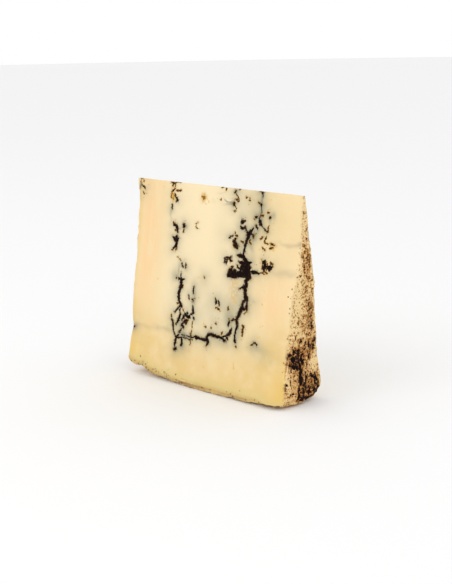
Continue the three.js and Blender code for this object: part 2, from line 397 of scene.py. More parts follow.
CORE_STROKES = [
    # the top left corner
    [(-58.0, 0.6, 0.9), (-57.0, 0.5, 0.6)],
    [(-58.1, 2.4, 0.6), (-57.8, 4.0, 1.6), (-58.1, 5.6, 0.9)],
    [(-57.0, 4.0, 0.4), (-55.8, 4.8, 0.4), (-54.4, 5.6, 1.0)],
    [(-53.6, 80.7, 0.6), (-53.2, 80.8, 0.5)],
    # left side, from the top edge down to the crossing
    [(-30.4, 0.4, 0.6), (-30.6, 3.0, 0.5)],
    [(-30.8, 4.0, 0.5), (-32.8, 6.0, 0.7)],
    [(-30.6, 6.8, 0.5), (-29.9, 8.6, 0.6), (-28.7, 9.0, 1.0), (-28.4, 10.0, 1.3), (-29.4, 10.7, 0.5)],
    [(-32.0, 12.6, 0.3), (-32.0, 14.4, 0.6)],
    [(-29.1, 22.8, 1.0), (-27.2, 23.5, 1.7), (-26.3, 25.0, 1.6), (-25.6, 26.6, 0.7)],
    [(-21.8, 22.2, 1.7), (-21.5, 22.9, 1.8)],
    [(-29.2, 29.2, 0.7), (-27.6, 30.0, 1.6), (-26.2, 30.8, 2.6), (-25.0, 29.7, 1.1)],
    [(-26.4, 29.0, 1.6), (-26.0, 32.0, 1.6), (-26.1, 33.6, 1.8), (-27.2, 34.3, 1.0), (-28.4, 35.6, 0.6)],
    [(-20.3, 42.4, 0.7), (-20.1, 43.5, 0.7), (-19.2, 43.8, 0.7)],
    [(-17.2, 44.1, 0.8), (-17.1, 44.3, 0.7)],
    [(-20.2, 47.2, 0.5), (-20.1, 49.4, 0.8), (-19.7, 51.0, 2.2), (-19.5, 53.0, 1.5), (-19.5, 54.6, 2.1),
     (-20.0, 56.2, 1.3), (-20.6, 58.0, 1.8), (-20.6, 60.0, 1.6), (-19.9, 62.0, 1.4), (-18.6, 63.7, 1.9),
     (-17.5, 64.5, 0.9)],
    [(-21.8, 50.4, 0.6), (-20.2, 50.9, 1.3), (-17.5, 50.2, 0.7)],
    [(-23.4, 50.0, 1.0), (-23.2, 50.1, 0.9)],
    [(-19.4, 64.6, 0.8), (-20.3, 66.2, 0.7), (-21.6, 67.6, 0.6), (-22.4, 68.0, 0.9)],
    [(-18.9, 64.6, 0.8), (-18.8, 67.0, 0.7), (-18.1, 69.0, 1.0), (-18.8, 70.8, 1.0), (-19.2, 72.0, 1.3),
     (-20.2, 73.6, 0.6), (-20.8, 74.6, 0.7)],
    # the bundle at the foot of the left side
    [(-24.5, 72.0, 0.5), (-23.3, 73.4, 1.4), (-22.7, 76.0, 0.9), (-22.3, 78.2, 0.8), (-20.6, 80.9, 0.7)],
    [(-14.8, 67.8, 0.9), (-15.4, 70.0, 1.3), (-16.8, 71.6, 0.7)],
    [(-12.9, 67.0, 1.2), (-12.7, 67.4, 1.0)],
    [(-14.4, 68.3, 1.0), (-12.4, 69.1, 1.5), (-11.0, 69.2, 1.3), (-10.6, 68.2, 0.7), (-9.4, 67.4, 0.6)],
    [(-14.4, 72.4, 1.2), (-13.2, 71.4, 1.3), (-12.4, 71.0, 0.8)],
    [(-15.5, 72.8, 0.7), (-16.6, 74.3, 1.1)],
    [(-15.2, 74.8, 1.2), (-15.1, 75.1, 1.0)],
    [(-15.1, 75.0, 0.3), (-16.8, 76.7, 0.5), (-17.9, 78.4, 0.6), (-18.6, 80.0, 0.6), (-19.9, 81.2, 1.0)],
    [(-19.9, 81.2, 1.2), (-19.9, 83.4, 1.4), (-20.4, 84.9, 0.9), (-20.2, 86.2, 0.5)],
    [(-20.5, 87.6, 1.3), (-19.5, 87.0, 1.4)],
    [(-19.7, 81.1, 0.5), (-17.6, 81.1, 0.4), (-16.2, 80.4, 0.6), (-15.4, 81.6, 1.0), (-15.0, 83.4, 1.3),
     (-15.5, 84.8, 1.0)],
    [(-15.8, 79.0, 0.1), (-12.8, 79.3, 0.1), (-9.4, 79.3, 0.2), (-6.4, 79.0, 0.3)],
    [(-15.4, 80.2, 0.1), (-11.2, 80.6, 0.0), (-9.4, 80.9, 0.5), (-7.6, 80.3, 0.1)],
    # beside it, a thin chain of bits
    [(-9.8, 53.2, 0.5), (-9.9, 54.8, 0.9), (-9.7, 56.4, 0.5)],
    [(-13.1, 57.9, 0.9), (-12.9, 58.4, 0.9)],
    [(-9.9, 60.1, 0.9), (-9.7, 60.3, 0.8)],
    [(-9.4, 63.4, 0.6), (-8.9, 65.4, 1.2), (-8.5, 67.0, 0.7)],
    [(-7.8, 69.1, 1.1), (-7.7, 69.4, 1.0)],
    [(-9.3, 78.2, 0.8), (-9.2, 78.6, 0.7)],
    # along the bottom to the right side
    [(-6.4, 78.7, 0.7), (-4.8, 79.0, 1.6), (-2.2, 78.9, 1.2), (0.0, 79.1, 1.1), (2.6, 78.9, 1.2)],
    [(2.6, 79.0, 1.4), (2.5, 77.6, 1.2), (3.7, 76.0, 1.4), (5.4, 75.7, 1.2), (7.8, 76.0, 1.2),
     (10.8, 76.1, 1.4), (13.0, 76.1, 1.3), (14.8, 77.0, 1.2), (16.2, 77.2, 0.5)],
    [(3.2, 78.6, 1.6), (3.8, 80.0, 1.6), (2.9, 81.6, 0.7)],
    [(13.6, 75.5, 0.5), (15.8, 74.9, 0.9), (17.4, 73.9, 1.3), (18.6, 72.7, 1.3), (18.8, 71.4, 1.1),
     (19.4, 70.3, 0.5)],
    [(16.9, 75.7, 1.0), (17.1, 75.8, 0.9)],
    [(17.0, 69.2, 0.7), (17.0, 68.2, 1.1), (17.5, 67.3, 0.6)],
    [(19.1, 66.3, 0.5), (19.7, 65.8, 0.9)],
    # right side, from its foot up to the fork
    [(22.7, 77.0, 0.7), (22.1, 76.0, 1.1), (21.9, 73.0, 0.8), (22.0, 71.4, 0.5), (22.5, 70.2, 1.2),
     (22.8, 68.6, 1.5), (22.6, 67.2, 1.6), (22.1, 65.6, 1.4), (23.0, 63.8, 1.6), (23.7, 62.2, 1.9),
     (24.4, 60.0, 1.6), (25.0, 58.0, 1.7), (25.6, 56.2, 1.4), (26.4, 54.6, 1.3), (26.8, 53.0, 2.0),
     (26.1, 51.2, 1.7), (26.2, 49.4, 1.8), (26.6, 47.0, 1.9), (26.4, 45.0, 2.2)],
    [(26.7, 53.0, 1.7), (27.8, 54.4, 1.7), (28.4, 54.9, 0.9)],
    [(28.1, 55.0, 0.6), (28.1, 57.0, 1.0), (27.9, 58.6, 1.7), (28.2, 59.6, 0.7)],
    [(25.0, 59.2, 1.4), (26.6, 59.7, 1.0)],
    [(26.2, 48.2, 1.4), (24.4, 48.8, 1.3), (23.0, 49.5, 0.9), (22.0, 49.8, 0.4)],
    [(25.0, 47.8, 0.8), (26.0, 48.4, 0.8)],
    # the large cluster
    [(18.2, 33.5, 0.7), (20.4, 33.4, 2.0), (22.6, 33.5, 2.0), (24.4, 35.0, 2.0), (25.8, 36.6, 3.0),
     (26.4, 39.0, 4.0), (26.4, 41.6, 5.0), (27.2, 43.2, 3.4)],
    [(28.6, 35.9, 0.8), (27.2, 36.6, 2.2), (24.4, 37.2, 3.2), (21.4, 36.9, 1.5), (20.5, 36.5, 0.6)],
    [(28.7, 38.5, 0.6), (26.6, 38.8, 2.0), (23.2, 39.0, 2.4), (21.4, 38.9, 1.0)],
    [(26.2, 41.4, 4.6), (23.4, 42.2, 3.2), (20.4, 42.8, 2.8), (17.8, 43.2, 3.6), (15.4, 43.3, 3.4),
     (13.6, 44.0, 1.6)],
    [(19.4, 38.4, 0.8), (20.4, 39.6, 1.0), (21.8, 40.0, 1.4)],
    [(16.0, 39.9, 0.9), (15.2, 41.0, 1.6), (14.4, 42.4, 2.0)],
    [(18.6, 40.6, 0.7), (18.0, 41.6, 1.4)],
    [(29.4, 40.6, 1.2), (31.0, 40.5, 2.1), (32.4, 40.4, 1.5), (34.2, 40.6, 0.5)],
    [(28.2, 42.0, 1.6), (29.2, 42.9, 0.9)],
    # trunk above it and its fork
    [(23.6, 34.2, 1.5), (22.9, 32.6, 1.2), (23.0, 30.4, 1.2), (23.5, 28.0, 1.4), (24.1, 26.0, 1.4),
     (24.7, 24.0, 1.8), (25.2, 22.2, 1.8), (26.2, 21.0, 1.6), (26.8, 20.2, 1.0), (27.8, 19.2, 0.6)],
    [(25.0, 22.4, 1.4), (24.2, 21.2, 1.0), (23.0, 19.9, 0.9), (22.6, 18.9, 0.8), (21.4, 19.5, 0.9),
     (20.0, 19.4, 0.9), (19.3, 18.7, 0.6)],
    [(19.9, 15.4, 0.7), (20.2, 16.5, 1.8), (21.7, 16.2, 0.7)],
    [(20.2, 16.6, 1.2), (19.9, 17.5, 0.5)],
    [(26.6, 21.2, 0.8), (27.8, 22.4, 0.6), (28.0, 23.2, 0.4)],
    # thin vein from the top edge on the right
    [(31.9, 1.4, 0.4), (32.0, 3.2, 0.0)],
    [(31.9, 7.4, 0.2), (32.0, 9.6, -0.1), (31.8, 13.6, 0.0)],
    [(30.8, 0.9, 0.5), (31.8, 1.3, 0.9)],
    [(31.2, 6.7, 0.5), (31.8, 7.2, 0.9)],
    [(31.2, 13.8, 0.3), (31.7, 15.2, 1.4), (32.3, 16.4, 1.6), (33.4, 16.8, 0.4)],
    [(33.4, 17.0, 0.1), (35.0, 18.6, 0.1), (36.6, 19.6, 0.3)],
    [(29.5, 17.4, 0.6), (29.7, 18.4, 0.8), (30.6, 19.0, 0.8)],
    [(28.8, 13.5, 0.9), (29.2, 13.3, 0.9)],
    [(38.2, 12.6, 1.0), (38.4, 12.8, 1.0)],
    # bits on the right
    [(36.2, 35.4, 0.8), (37.1, 34.2, 1.4), (37.4, 36.0, 2.0), (37.0, 37.6, 1.4), (37.2, 39.0, 0.9)],
    [(38.4, 36.6, 1.2), (39.8, 37.0, 2.0), (41.2, 37.0, 2.1), (42.2, 36.2, 0.8)],
    [(40.8, 37.2, 1.2), (40.6, 38.4, 0.7)],
    # bits between the two sides
    [(6.9, 58.0, 0.8), (7.1, 59.2, 1.1)],
    [(8.6, 57.9, 0.8), (9.2, 59.6, 1.0)],
    [(10.3, 36.0, 0.9), (10.5, 37.2, 1.0), (11.5, 38.0, 0.9), (12.0, 37.4, 0.6)],
    [(10.4, 35.8, 0.8), (12.2, 35.2, 0.7), (13.6, 35.3, 0.9), (14.6, 34.5, 0.8)],
    [(13.5, 35.4, 0.8), (14.0, 36.6, 1.1), (15.0, 36.4, 0.7)],
    [(12.0, 25.4, 0.4), (13.0, 24.9, 0.8), (14.6, 24.2, 0.5)],
    [(16.4, 25.3, 0.9), (16.0, 27.0, 1.1), (17.2, 27.6, 1.2), (16.8, 29.0, 1.6), (18.2, 30.2, 0.8)],
    [(17.0, 28.0, 1.2), (18.4, 28.7, 1.0)],
    [(13.0, 2.4, 0.8), (13.3, 2.0, 0.9)],
    [(12.8, 8.6, 0.9), (13.3, 8.0, 0.8)],
    [(35.0, 75.2, 0.4), (35.8, 74.7, 0.6), (37.1, 75.6, 0.5)],
    [(8.4, 69.4, 0.7), (8.6, 69.6, 0.6)],
]

BROWN_STROKES = [
    [(-55.6, 7.4, 0.4), (-55.0, 8.4, 0.5)],
    [(-54.6, 8.8, 0.4), (-54.2, 8.6, 0.4)],
    [(-56.0, 1.4, 0.4), (-55.6, 2.2, 0.5)],
    [(-34.2, 1.0, 0.6), (-31.6, 1.6, 0.9), (-33.2, 2.8, 0.4)],
    [(-32.8, 6.4, 0.4), (-33.6, 8.6, 0.3), (-31.8, 9.4, 0.3)],
    [(-29.6, 5.3, 0.8), (-27.2, 4.9, 0.9), (-26.2, 4.5, 0.7)],
    [(-29.8, 0.6, 0.4), (-26.8, 0.6, 0.4)],
    [(39.6, 25.2, 0.4), (41.0, 25.6, 1.0), (42.6, 25.8, 0.6)],
    [(40.1, 27.6, 0.9), (41.7, 27.2, 0.7)],
    [(38.0, 34.6, 0.8), (39.0, 35.6, 0.8), (38.6, 38.6, 0.7)],
    [(35.8, 36.4, 0.9), (36.0, 38.0, 0.7)],
    [(-29.6, 21.8, 0.9), (-28.6, 22.3, 0.7)],
    [(-27.6, 25.5, 0.8), (-27.2, 25.7, 0.7)],
    [(-21.4, 24.2, 0.6), (-21.6, 25.8, 0.8)],
    [(-12.7, 20.8, 0.6), (-11.6, 20.0, 0.6)],
    [(-12.6, 22.2, 0.7), (-11.6, 23.1, 0.7)],
    [(-29.4, 29.0, 0.7), (-29.0, 29.3, 0.6)],
    [(-28.6, 35.8, 0.8), (-28.9, 36.2, 0.5)],
    [(-25.4, 34.8, 1.0), (-26.0, 36.2, 0.9)],
    [(-24.4, 39.3, 0.6), (-23.4, 39.1, 0.6)],
    [(-22.4, 40.3, 0.6), (-21.4, 40.7, 0.5)],
    [(-17.5, 41.6, 0.6), (-17.3, 42.8, 1.2)],
    [(-18.6, 53.6, 1.4), (-18.3, 54.5, 1.1)],
    [(-12.8, 59.3, 0.8), (-12.3, 60.4, 0.5)],
    [(-8.6, 59.5, 0.5), (-8.3, 59.3, 0.5)],
    [(-21.1, 63.6, 0.8), (-20.4, 63.4, 0.6)],
    [(-17.0, 65.2, 0.5), (-15.9, 66.8, 0.5)],
    [(-25.1, 69.8, 0.6), (-24.6, 71.2, 0.8)],
    [(-14.0, 71.0, 0.9), (-12.2, 70.9, 1.3), (-13.4, 73.0, 0.9)],
    [(-8.7, 70.6, 0.4), (-8.6, 75.0, 0.5), (-9.0, 83.4, 0.4)],
    [(6.1, 57.0, 0.7), (6.3, 57.5, 0.6)],
    [(7.1, 61.9, 0.5), (8.3, 61.3, 0.7), (9.2, 62.0, 0.9), (10.3, 62.6, 0.5)],
    [(15.7, 59.8, 0.7), (15.6, 61.1, 1.2)],
    [(19.1, 38.3, 1.0), (19.8, 39.0, 0.7)],
    [(15.2, 39.2, 0.9), (16.4, 39.4, 0.8)],
    [(13.8, 42.4, 0.9), (14.4, 41.0, 0.7)],
    [(28.7, 42.6, 1.2), (28.9, 44.0, 0.9)],
    [(33.8, 40.7, 0.6), (35.8, 40.1, 0.5), (38.2, 40.3, 0.5)],
    [(28.4, 57.6, 0.9), (28.4, 60.4, 1.0)],
    [(26.9, 61.6, 0.7), (27.4, 61.4, 0.6)],
    [(26.5, 67.5, 0.9), (27.1, 68.3, 1.7), (26.8, 69.4, 1.0), (26.8, 71.2, 1.2), (26.9, 73.0, 0.5)],
    [(17.6, 67.0, 0.5), (16.8, 65.4, 0.5)],
    [(19.8, 65.4, 0.6), (21.2, 65.8, 0.5)],
    [(13.3, 73.0, 0.5), (12.8, 74.6, 0.8)],
    [(5.0, 71.6, 0.4), (5.3, 72.6, 0.8)],
    [(0.9, 72.3, 0.9), (1.4, 72.3, 0.8)],
    [(2.7, 82.1, 0.7), (2.9, 81.6, 0.7)],
    [(23.4, 78.8, 0.8), (23.7, 79.0, 0.7)],
    [(33.6, 76.5, 0.8), (34.6, 75.7, 0.5)],
    [(3.6, 0.9, 0.9), (4.1, 0.7, 0.9)],
    [(6.4, 0.8, 0.6), (6.6, 1.6, 1.2)],
    [(13.7, 3.2, 0.5), (15.6, 4.9, 0.4)],
    [(15.8, 0.8, 0.9), (16.2, 0.8, 0.9)],
    [(3.4, 6.8, 0.8), (3.8, 6.8, 0.8)],
    [(14.0, 5.9, 0.5), (16.0, 5.7, 0.7), (16.3, 6.5, 0.9), (15.7, 6.9, 0.6)],
    [(13.4, 7.4, 0.9), (12.9, 8.5, 0.8), (14.0, 9.2, 0.5), (15.4, 10.4, 0.4)],
    [(14.1, 11.8, 0.8), (14.7, 11.7, 0.7)],
    [(21.2, 4.5, 0.9), (21.6, 4.6, 0.9)],
    [(23.7, 4.6, 0.6), (23.8, 5.6, 1.0)],
    [(29.6, 0.6, 0.5), (30.8, 0.9, 0.6)],
    [(29.6, 6.1, 0.8), (30.8, 6.7, 0.5)],
    [(36.6, 10.4, 0.9), (37.1, 10.4, 0.8)],
    [(32.1, 12.4, 0.8), (33.6, 12.1, 0.9)],
    [(28.6, 13.8, 0.7), (28.0, 14.6, 0.5)],
    [(37.0, 20.0, 1.4), (37.4, 19.8, 1.2), (37.5, 19.0, 0.8), (37.4, 17.8, 0.4), (37.9, 16.8, 0.2)],
    [(-3.2, 46.8, 0.2), (-2.5, 47.5, 0.4)],
    [(33.0, 23.6, 1.0), (34.0, 22.4, 0.8)],
    [(36.7, 22.6, 0.6), (35.9, 24.1, 1.0)],
    [(35.6, 24.8, 0.4), (36.8, 25.4, 0.7), (38.4, 25.8, 0.4)],
    [(34.7, 27.5, 0.5), (35.8, 28.5, 0.9), (37.2, 29.0, 0.5)],
    [(15.8, 22.0, 0.5), (16.0, 23.4, 0.7), (17.6, 24.0, 0.9)],
    [(15.4, 26.4, 1.4), (15.8, 28.4, 1.6), (17.4, 29.8, 1.6), (19.0, 29.0, 0.8)],
    [(26.1, 25.2, 1.0), (27.0, 26.8, 0.8)],
    [(20.5, 26.1, 0.6), (22.0, 26.7, 0.7)],
    [(28.2, 23.6, 0.7), (29.6, 21.4, 0.4)],
    [(35.2, 33.6, 0.5), (35.4, 35.0, 0.8), (36.2, 34.4, 0.8)],
    [(41.0, 34.6, 0.7), (42.4, 34.9, 0.5)],
    [(35.4, 40.2, 0.5), (37.4, 39.4, 0.9), (39.6, 39.8, 0.7)],
    [(11.8, 36.4, 1.4), (12.4, 35.9, 1.2)],
    # crumbs of rind along the heel
    [(-43.8, 98.5, 1.0), (-43.4, 98.6, 0.9)],
    [(-44.4, 100.8, 0.9), (-44.0, 100.8, 0.8)],
    [(-40.4, 101.2, 1.1), (-39.8, 101.3, 0.9)],
    [(-36.8, 101.7, 0.9), (-36.2, 101.8, 1.0)],
    [(-33.4, 100.6, 0.7), (-33.0, 100.7, 0.7)],
    [(-30.9, 101.8, 1.1), (-30.4, 101.9, 0.9)],
    [(-25.9, 101.4, 0.9), (-25.5, 101.4, 0.8)],
    [(-24.3, 102.0, 0.8), (-23.9, 102.0, 0.8)],
    [(-40.0, 102.4, 0.6), (-34.0, 102.9, 0.4), (-29.0, 103.2, 0.6)],
    [(-26.0, 103.3, 0.6), (-17.8, 103.9, 0.8), (-12.0, 104.1, 0.4)],
    [(-2.4, 104.0, 0.5), (2.6, 103.9, 1.1), (4.4, 104.1, 0.7)],
]

TAN_STROKES = [
    [(-10.1, 6.6, 2.2), (-8.6, 6.9, 3.4)],
    [(-33.2, 6.8, 1.4), (-33.0, 8.8, 1.3), (-31.6, 9.6, 1.2)],
    [(36.6, 25.6, 0.6), (39.0, 26.2, 0.7), (43.6, 26.2, 0.7)],
    [(40.6, 28.6, 0.7), (42.8, 27.8, 0.6)],
    [(-32.2, 1.4, 1.0), (-31.8, 4.4, 0.6), (-33.4, 6.8, 1.2), (-31.8, 9.0, 0.8), (-29.8, 10.6, 0.7)],
    [(-7.8, 6.2, 1.0), (-5.8, 7.2, 0.9), (-4.8, 9.0, 0.9)],
    [(-7.1, 10.0, 0.8), (-6.7, 10.1, 0.6)],
    [(-17.4, 21.3, 0.8), (-16.6, 21.5, 0.6)],
    [(-38.2, 52.6, 0.9), (-37.4, 52.2, 0.7)],
    [(-34.4, 54.6, 0.6), (-33.4, 54.9, 0.5)],
    [(-7.0, 48.1, 1.0), (-6.2, 48.2, 0.9)],
    [(-1.5, 48.7, 0.5), (-0.4, 49.0, 0.5)],
    [(-0.1, 69.8, 0.5), (-0.3, 71.6, 0.9)],
    [(17.1, 47.4, 0.9), (17.6, 48.8, 0.9)],
    [(20.8, 45.6, 0.5), (20.9, 46.4, 0.7)],
    [(18.3, 54.2, 0.5), (18.6, 55.6, 0.9)],
    [(20.1, 55.6, 0.7), (20.3, 57.2, 0.9)],
    [(7.7, 68.3, 0.7), (8.0, 68.7, 0.6)],
    [(33.4, 5.4, 0.8), (34.2, 5.1, 0.6)],
    [(35.4, 4.7, 0.7), (38.0, 4.2, 0.8)],
    [(32.8, 29.0, 0.6), (33.7, 28.8, 0.7)],
    [(36.6, 24.8, 0.6), (39.6, 24.9, 0.6)],
    [(38.1, 55.0, 0.8), (38.6, 55.6, 1.3)],
    [(37.6, 48.4, 0.5), (39.0, 48.8, 0.6)],
    [(38.0, 66.6, 0.6), (39.8, 65.6, 0.6)],
    [(37.2, 72.2, 0.6), (39.0, 71.8, 0.8)],
    [(24.4, 80.0, 0.5), (27.2, 81.0, 0.6)],
    [(-24.4, 83.0, 0.7), (-23.4, 81.6, 0.6)],
    [(-9.7, 86.4, 0.7), (-9.0, 87.5, 0.7)],
    [(-4.0, 90.8, 0.9), (-3.5, 90.6, 0.8)],
    [(2.0, 93.0, 0.8), (2.6, 93.4, 0.9)],
    [(11.4, 87.0, 0.8), (12.2, 86.8, 0.7)],
    [(23.0, 86.8, 0.6), (23.4, 90.0, 1.0)],
    [(-41.2, 84.4, 0.8), (-40.6, 84.6, 0.7)],
    [(-49.8, 88.6, 0.6), (-49.4, 89.0, 0.6)],
    [(-39.8, 3.6, 0.6), (-39.0, 3.9, 0.5)],
]

# Faint grey lines and smudges, and painted shade at creases and the flake: (x, radius, reach across,
# reach down, strength)
GREY_SMUDGES_AND_SHADES = [
    (-32.2, 17.0, 0.9, 5.0, 0.55),
    (-22.4, 46.5, 1.0, 3.0, 0.85),
    (-25.2, 48.0, 2.5, 4.0, 0.35),
    (-24.0, 24.0, 1.6, 0.8, 0.45),
    (-19.2, 22.6, 1.6, 1.0, 0.4),
    # painted shade along the left crease
    (-29.2, 78.2, 5.0, 1.5, 0.5),
    (-14.2, 79.2, 5.5, 1.8, 0.8),
    (-17.2, 75.0, 4.0, 3.0, 0.4),
    (-15.2, 86.0, 6.0, 3.5, 0.35),
    (-8.6, 70.0, 0.8, 12.0, 0.35),
    (-9.2, 57.0, 1.6, 5.0, 0.3),
    (32.0, 5.5, 0.5, 8.0, 0.9),
    (40.8, 11.0, 1.4, 1.8, 0.6),
    (38.8, 14.5, 0.8, 2.5, 0.4),
    (32.0, 14.0, 5.0, 8.0, 0.4),
    (20.8, 22.0, 6.0, 6.0, 0.35),
    (28.3, 24.0, 3.0, 4.0, 0.5),
    (27.8, 29.0, 1.4, 1.4, 0.45),
    (12.8, 24.9, 3.0, 1.6, 0.4),
    (5.8, 22.0, 5.0, 8.0, 0.14),
    # painted shade along the right side's lower crease
    (47.8, 39.3, 9.0, 1.5, 0.35),
    (33.0, 54.0, 1.0, 0.8, 0.3),
    (36.8, 78.0, 6.0, 2.6, 0.45),
    (44.0, 81.0, 8.0, 4.5, 0.3),
    (23.8, 72.0, 3.0, 4.0, 0.4),
    (9.8, 79.5, 14.0, 2.4, 0.3),
    (4.8, 74.6, 1.2, 0.8, 0.5),
    # painted shadow under the flake's lifted rim
    (9.8, 8.8, 3.2, 0.6, 0.8),
    (3.8, 3.8, 3.0, 0.5, 0.3),
    (24.0, 6.0, 12.0, 7.0, 0.42),
    (-2.2, 47.0, 4.5, 4.5, 0.4),
    (-1.2, 7.5, 2.0, 1.4, 0.18),
    (-56.7, 4.5, 1.6, 1.4, 0.3),
    (16.4, 63.0, 4.2, 8.0, 0.7),
    (21.6, 56.0, 2.8, 5.5, 0.42),
    (34.0, 54.5, 3.0, 4.0, 0.22),
    (28.6, 59.0, 3.0, 9.0, 0.15),
    (-18.0, 62.0, 2.5, 5.0, -0.2),
    (10.8, 74.0, 6.0, 3.0, 0.2),
    (27.8, 31.0, 4.0, 8.0, 0.35),
    (19.3, 30.0, 3.0, 6.0, 0.4),
]

# Brownish grey painted shade along the creases and at the corner, in the smudges' layout
PAINTED_SHADES = [
    (-54.7, 80.8, 4.0, 1.9, 0.8),
    (-44.2, 79.2, 8.0, 1.2, 0.16),
    (-35.2, 77.8, 3.0, 1.4, 0.18),
    (51.8, 24.6, 7.0, 1.3, 0.35),
    (57.8, 24.4, 2.5, 1.2, 0.5),
    (53.8, 38.4, 6.0, 1.3, 0.22),
    (-57.6, 4.4, 0.8, 2.4, 0.5),
]

# Where the veins leave less grey round them, in the smudges' layout
CLEAR_SPOTS = [
    (-31.0, 4.0, 7.0, 8.0, 0.75),
    (-56.0, 4.0, 4.0, 5.0, 0.8),
    (20.2, 16.4, 2.6, 1.6, 0.5),
    (13.6, 25.0, 3.0, 1.6, 0.6),
    (12.6, 36.4, 3.4, 2.4, 0.6),
    (40.0, 37.0, 4.4, 4.0, 0.7),
    (38.3, 12.7, 1.6, 1.6, 0.5),
    (8.0, 59.0, 3.0, 3.0, 0.4),
    (-14.6, 56.0, 3.6, 7.0, 0.3),
    (8.5, 69.5, 2.5, 2.0, 0.7),
]

# Golden olive glows of oil round some veins, in the smudges' layout
GLOWS = [
    (-31.8, 6.2, 1.6, 4.4, 1.0),
    (-32.4, 8.6, 1.4, 1.6, 0.8),
    (-9.2, 6.8, 2.2, 1.9, 0.9),
    (18.6, 51.0, 3.4, 8.0, 0.4),
    (41.4, 26.4, 1.9, 1.5, 0.55),
    (36.0, 25.4, 2.2, 0.9, 0.3),
    (16.4, 27.6, 1.8, 3.0, 0.3),
    (12.6, 36.6, 1.6, 1.2, 0.45),
    (15.4, 40.4, 1.6, 1.6, 0.35),
    (38.8, 37.0, 3.2, 2.8, 0.25),
    (-12.6, 71.4, 1.6, 1.8, 0.35),
    (27.2, 69.0, 1.2, 2.0, 0.3),
    (8.6, 62.0, 1.8, 1.0, 0.25),
]


def stroke_distance(places, strokes):
    """Distance from each (x, radius) to the nearest stroke's edge, negative inside it."""
    nearest = np.full(len(places), 99.0)
    for stroke in strokes:
        for (x0, r0, w0), (x1, r1, w1) in zip(stroke, stroke[1:]):
            start = np.array([x0, r0])
            run = np.array([x1 - x0, r1 - r0])
            share = np.clip((places - start) @ run / max(run @ run, 1e-6), 0, 1)
            gap = np.linalg.norm(places - start - share[:, None] * run, axis=1)
            nearest = np.minimum(nearest, gap - (w0 + (w1 - w0) * share) / 2)
    return nearest


def smudge_strength(places, smudges):
    total = np.zeros(len(places))
    for x, radius, across, down, strength in smudges:
        total += strength * bump(places[:, 0], x, across) * bump(places[:, 1], radius, down)
    return total


def back_places(places):
    """Where a place of the back cut face falls in the front's layout: alike, but not the same."""
    x, radius = places.T
    shifted = x * 1.04 + 2.5 + 2.2 * np.sin(radius / 13)
    lower = radius * 1.05 - 5 + 1.8 * np.sin(x / 9 + 1)
    return np.stack([shifted, lower], axis=1)


def ragged(places, points, grain, wide):
    """Places pushed about a little, so that strokes get uneven edges."""
    moved = places.copy()
    for axis in range(2):
        aside = points + 40.0 * (axis + 1)
        moved[:, axis] += wide * grain.at(aside, 1.7) + 0.35 * wide * grain.at(aside, 0.7)
    return moved
